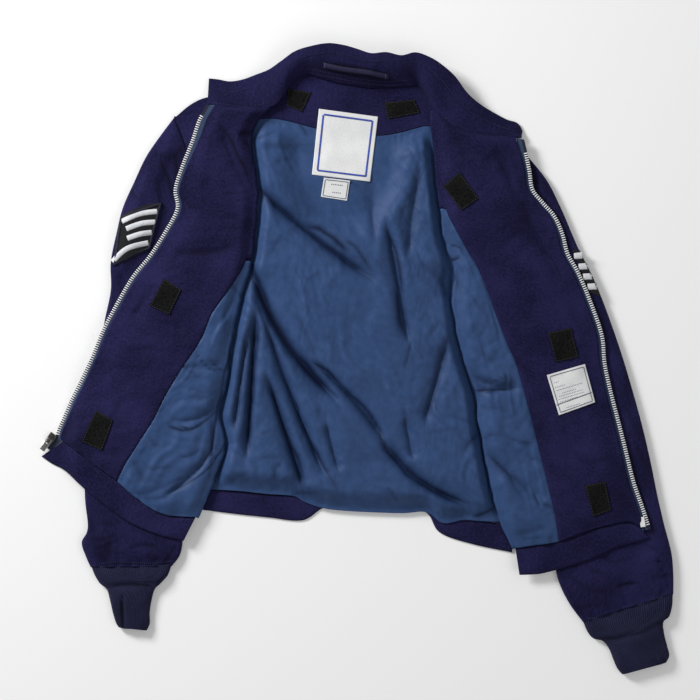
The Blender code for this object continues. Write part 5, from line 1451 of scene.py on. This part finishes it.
left_patch = lay_piece("sleeve_patch_left", PATCH_LEFT, (sleeves["left"],), PATCH_WALL, PATCH_BLACK, 18,
                       bulge=(3.0, 1.8))
right_patch = lay_piece("sleeve_patch_right", PATCH_RIGHT, (sleeves["right"],), PATCH_WALL, PATCH_BLACK, 14)
curved = [share_of(path, np.linspace(0, 1, 30)) for path in BARS_LEFT]
for side, patch, bars in (("left", left_patch, curved), ("right", right_patch, BARS_RIGHT)):
    trees = ray_tree(patch, sleeves[side])
    for k, path in enumerate(bars):
        strip_on(f"patch_{side}_bar_{k + 1}", path, BAR_WIDE[side], trees, THREAD_WHITE, BAR_LIFT,
                 BAR_CROWN, 6)
far, wide = PATCH_EDGE
strip_on("patch_left_edge", dense(inset(PATCH_LEFT, far)), wide, ray_tree(left_patch, sleeves["left"]),
         THREAD_DARK, BAR_LIFT, BAR_CROWN)


def build_loop():
    """Hanger loop: a narrow strip that stands off the collar in the middle."""
    line = share_of(LOOP_LINE, np.linspace(0, 1, 40))
    trees = ray_tree(collar)
    points = []
    for k, (col, row) in enumerate(line):
        lift = LOOP_LIFT + LOOP_BOW * math.sin(math.pi * k / (len(line) - 1))
        across_it = []
        for s in np.linspace(-1, 1, 7):
            spot = place(np.float64(col), np.float64(row + LOOP_HALF * s), 0.0)
            spot[2] = top_of(trees, spot[0], spot[1]) + lift + 0.0008 * (1 - s * s)
            across_it.append(spot)
        points.append(across_it)
    # Painted shade along both edges of the loop.
    edges = np.tile([1.0, 0.3, 0, 0, 0, 0.3, 1.0], (len(points), 1))
    return cloth("hanger_loop", np.array(points), LOOP_WALL, LOOP_NAVY, rests_on=("collar_cloth",),
                 painted_shade=edges)


loop = build_loop()

# ---------------------------------------------------------------- sewing

collar_rows = [share_of(row, np.linspace(0, 1, 300)) for row in SEAM_ROWS.values()]
stitches("collar_stitches", collar_rows, (collar,), THREAD_NAVY)
stitches("loop_tacks", LOOP_TACKS, (loop,), THREAD_PALE, TACK_STITCH)
facing_edge = share_of(FACING_LOW, np.linspace(0.34, 0.97, 300))
stitches("shoulder_stitches", [facing_edge - [0, 1.6]], (shoulder,), THREAD_NAVY)
for side in SIDES:
    top = share_of(FRONTS[side][2], np.linspace(0.03, 0.97, 300))
    stitches(f"hem_stitches_{side}", [top + [-0.3, 1.7]], (bands[side],), THREAD_NAVY)
for side in SIDES:
    seam = share_of(CUFF_SEAMS[side], np.linspace(0.03, 0.97, 80))
    stitches(f"cuff_gathers_{side}", [seam], (sleeves[side],), RIB_KNIT, GATHER_STITCH)

# ---------------------------------------------------------------- metal

PLATED = {"zip_slider": NICKEL, "zip_pull_tab": NICKEL_BRIGHT, "zip_box": ALUMINIUM, "zip_pin": ALUMINIUM}
for name, look in PLATED.items():
    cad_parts[name].data.materials.clear()
    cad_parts[name].data.materials.append(look)

# ---------------------------------------------------------------- cut sizes

# Each cut piece laid flat: width and length of what shows, all round on a tube, and its area, in metres
CUTS = {
    "back_shell": (0.400, 0.480, 0.1767), "shoulder_facing": (0.440, 0.046, 0.01695),
    "back_lining": (0.402, 0.470, 0.1830), "front_left_shell": (0.167, 0.496, 0.0798),
    "front_left_facing": (0.180, 0.498, 0.0573), "front_left_lining": (0.092, 0.320, 0.0290),
    "front_right_shell": (0.201, 0.522, 0.0976), "front_right_facing": (0.212, 0.525, 0.0637),
    "front_right_lining": (0.098, 0.422, 0.0406), "hem_band_left": (0.207, 0.030, 0.0061),
    "hem_band_right": (0.168, 0.0312, 0.00516), "hem_band_back": (0.402, 0.029, 0.01155),
    "sleeve_left": (0.284, 0.474, 0.1167), "sleeve_right": (0.263, 0.505, 0.1244),
    "cuff_left": (0.190, 0.082, 0.0154), "cuff_right": (0.206, 0.082, 0.0167),
    "collar": (0.041, 0.428, 0.0174),
    "zip_tape_left": (0.011, 0.464, 0.0050), "zip_tape_right": (0.011, 0.498, 0.0053),
    "pad_neck_left": (0.0246, 0.0236, 0.00057), "pad_neck_right": (0.0384, 0.0192, 0.00073),
    "pad_left_upper": (0.0256, 0.0357, 0.00091), "pad_left_lower": (0.0260, 0.0404, 0.00104),
    "pad_right_upper": (0.0384, 0.0264, 0.00101), "pad_right_middle": (0.0286, 0.0368, 0.00105),
    "pad_right_lower": (0.0247, 0.0374, 0.00092), "label_main": (0.0714, 0.0799, 0.0057),
    "label_size": (0.0322, 0.0243, 0.00078), "label_care": (0.0475, 0.0493, 0.00233),
    "sleeve_patch_left": (0.0508, 0.0592, 0.00266), "sleeve_patch_right": (0.0112, 0.0588, 0.00059),
    "hanger_loop": (0.011, 0.0795, 0.00065),
}
# Looks up the cut size of each cloth piece; nothing further is done with it
for piece, node, rests_on, with_pieces in SHEETS:
    wide, long, area = CUTS[node]

# ---------------------------------------------------------------- floor, light and camera

floor_mesh = bpy.data.meshes.new("floor")
bm = bmesh.new()
bmesh.ops.create_grid(bm, x_segments=1, y_segments=1, size=FLOOR_REACH)
bm.to_mesh(floor_mesh)
bm.free()
floor_mesh.transform(Matrix.Translation((0, 0, FLOOR_Z)))
floor = bpy.data.objects.new("floor", floor_mesh)
bpy.context.scene.collection.objects.link(floor)
white, _ = surface("white_backdrop", Base_Color=srgb("#FAFAFA"), Roughness=0.9, Emission_Color=(1, 1, 1, 1),
                   Emission_Strength=0.12)
floor_mesh.materials.append(white)


def area_light(name, at, size, power):
    """A soft square light that faces the jacket."""
    data = bpy.data.lights.new(name, "AREA")
    data.size = size
    data.energy = power
    light = bpy.data.objects.new(name, data)
    light.location = at
    light.rotation_euler = (-Vector(at)).to_track_quat("-Z", "Y").to_euler()
    bpy.context.scene.collection.objects.link(light)


area_light("key", *KEY_LIGHT)
area_light("fill", *FILL_LIGHT)
world = bpy.data.worlds.new("studio")
bpy.context.scene.world = world
world.use_nodes = True
world.node_tree.nodes["Background"].inputs[0].default_value = (1, 1, 1, 1)
world.node_tree.nodes["Background"].inputs[1].default_value = SKY_LIGHT

camera = bpy.data.objects.new("camera", bpy.data.cameras.new("camera"))
middle = VIEW_SQUARES / 2
camera.location = ((middle - ORIGIN_COL) * SQUARE, (ORIGIN_ROW - middle) * SQUARE, CAMERA_HIGH)
camera.data.sensor_width = SENSOR_MM
camera.data.lens = SENSOR_MM * CAMERA_HIGH / (VIEW_SQUARES * SQUARE)
camera.data.clip_end = 5 * CAMERA_HIGH
bpy.context.scene.collection.objects.link(camera)
bpy.context.scene.camera = camera
bpy.context.scene.view_settings.view_transform = "Standard"
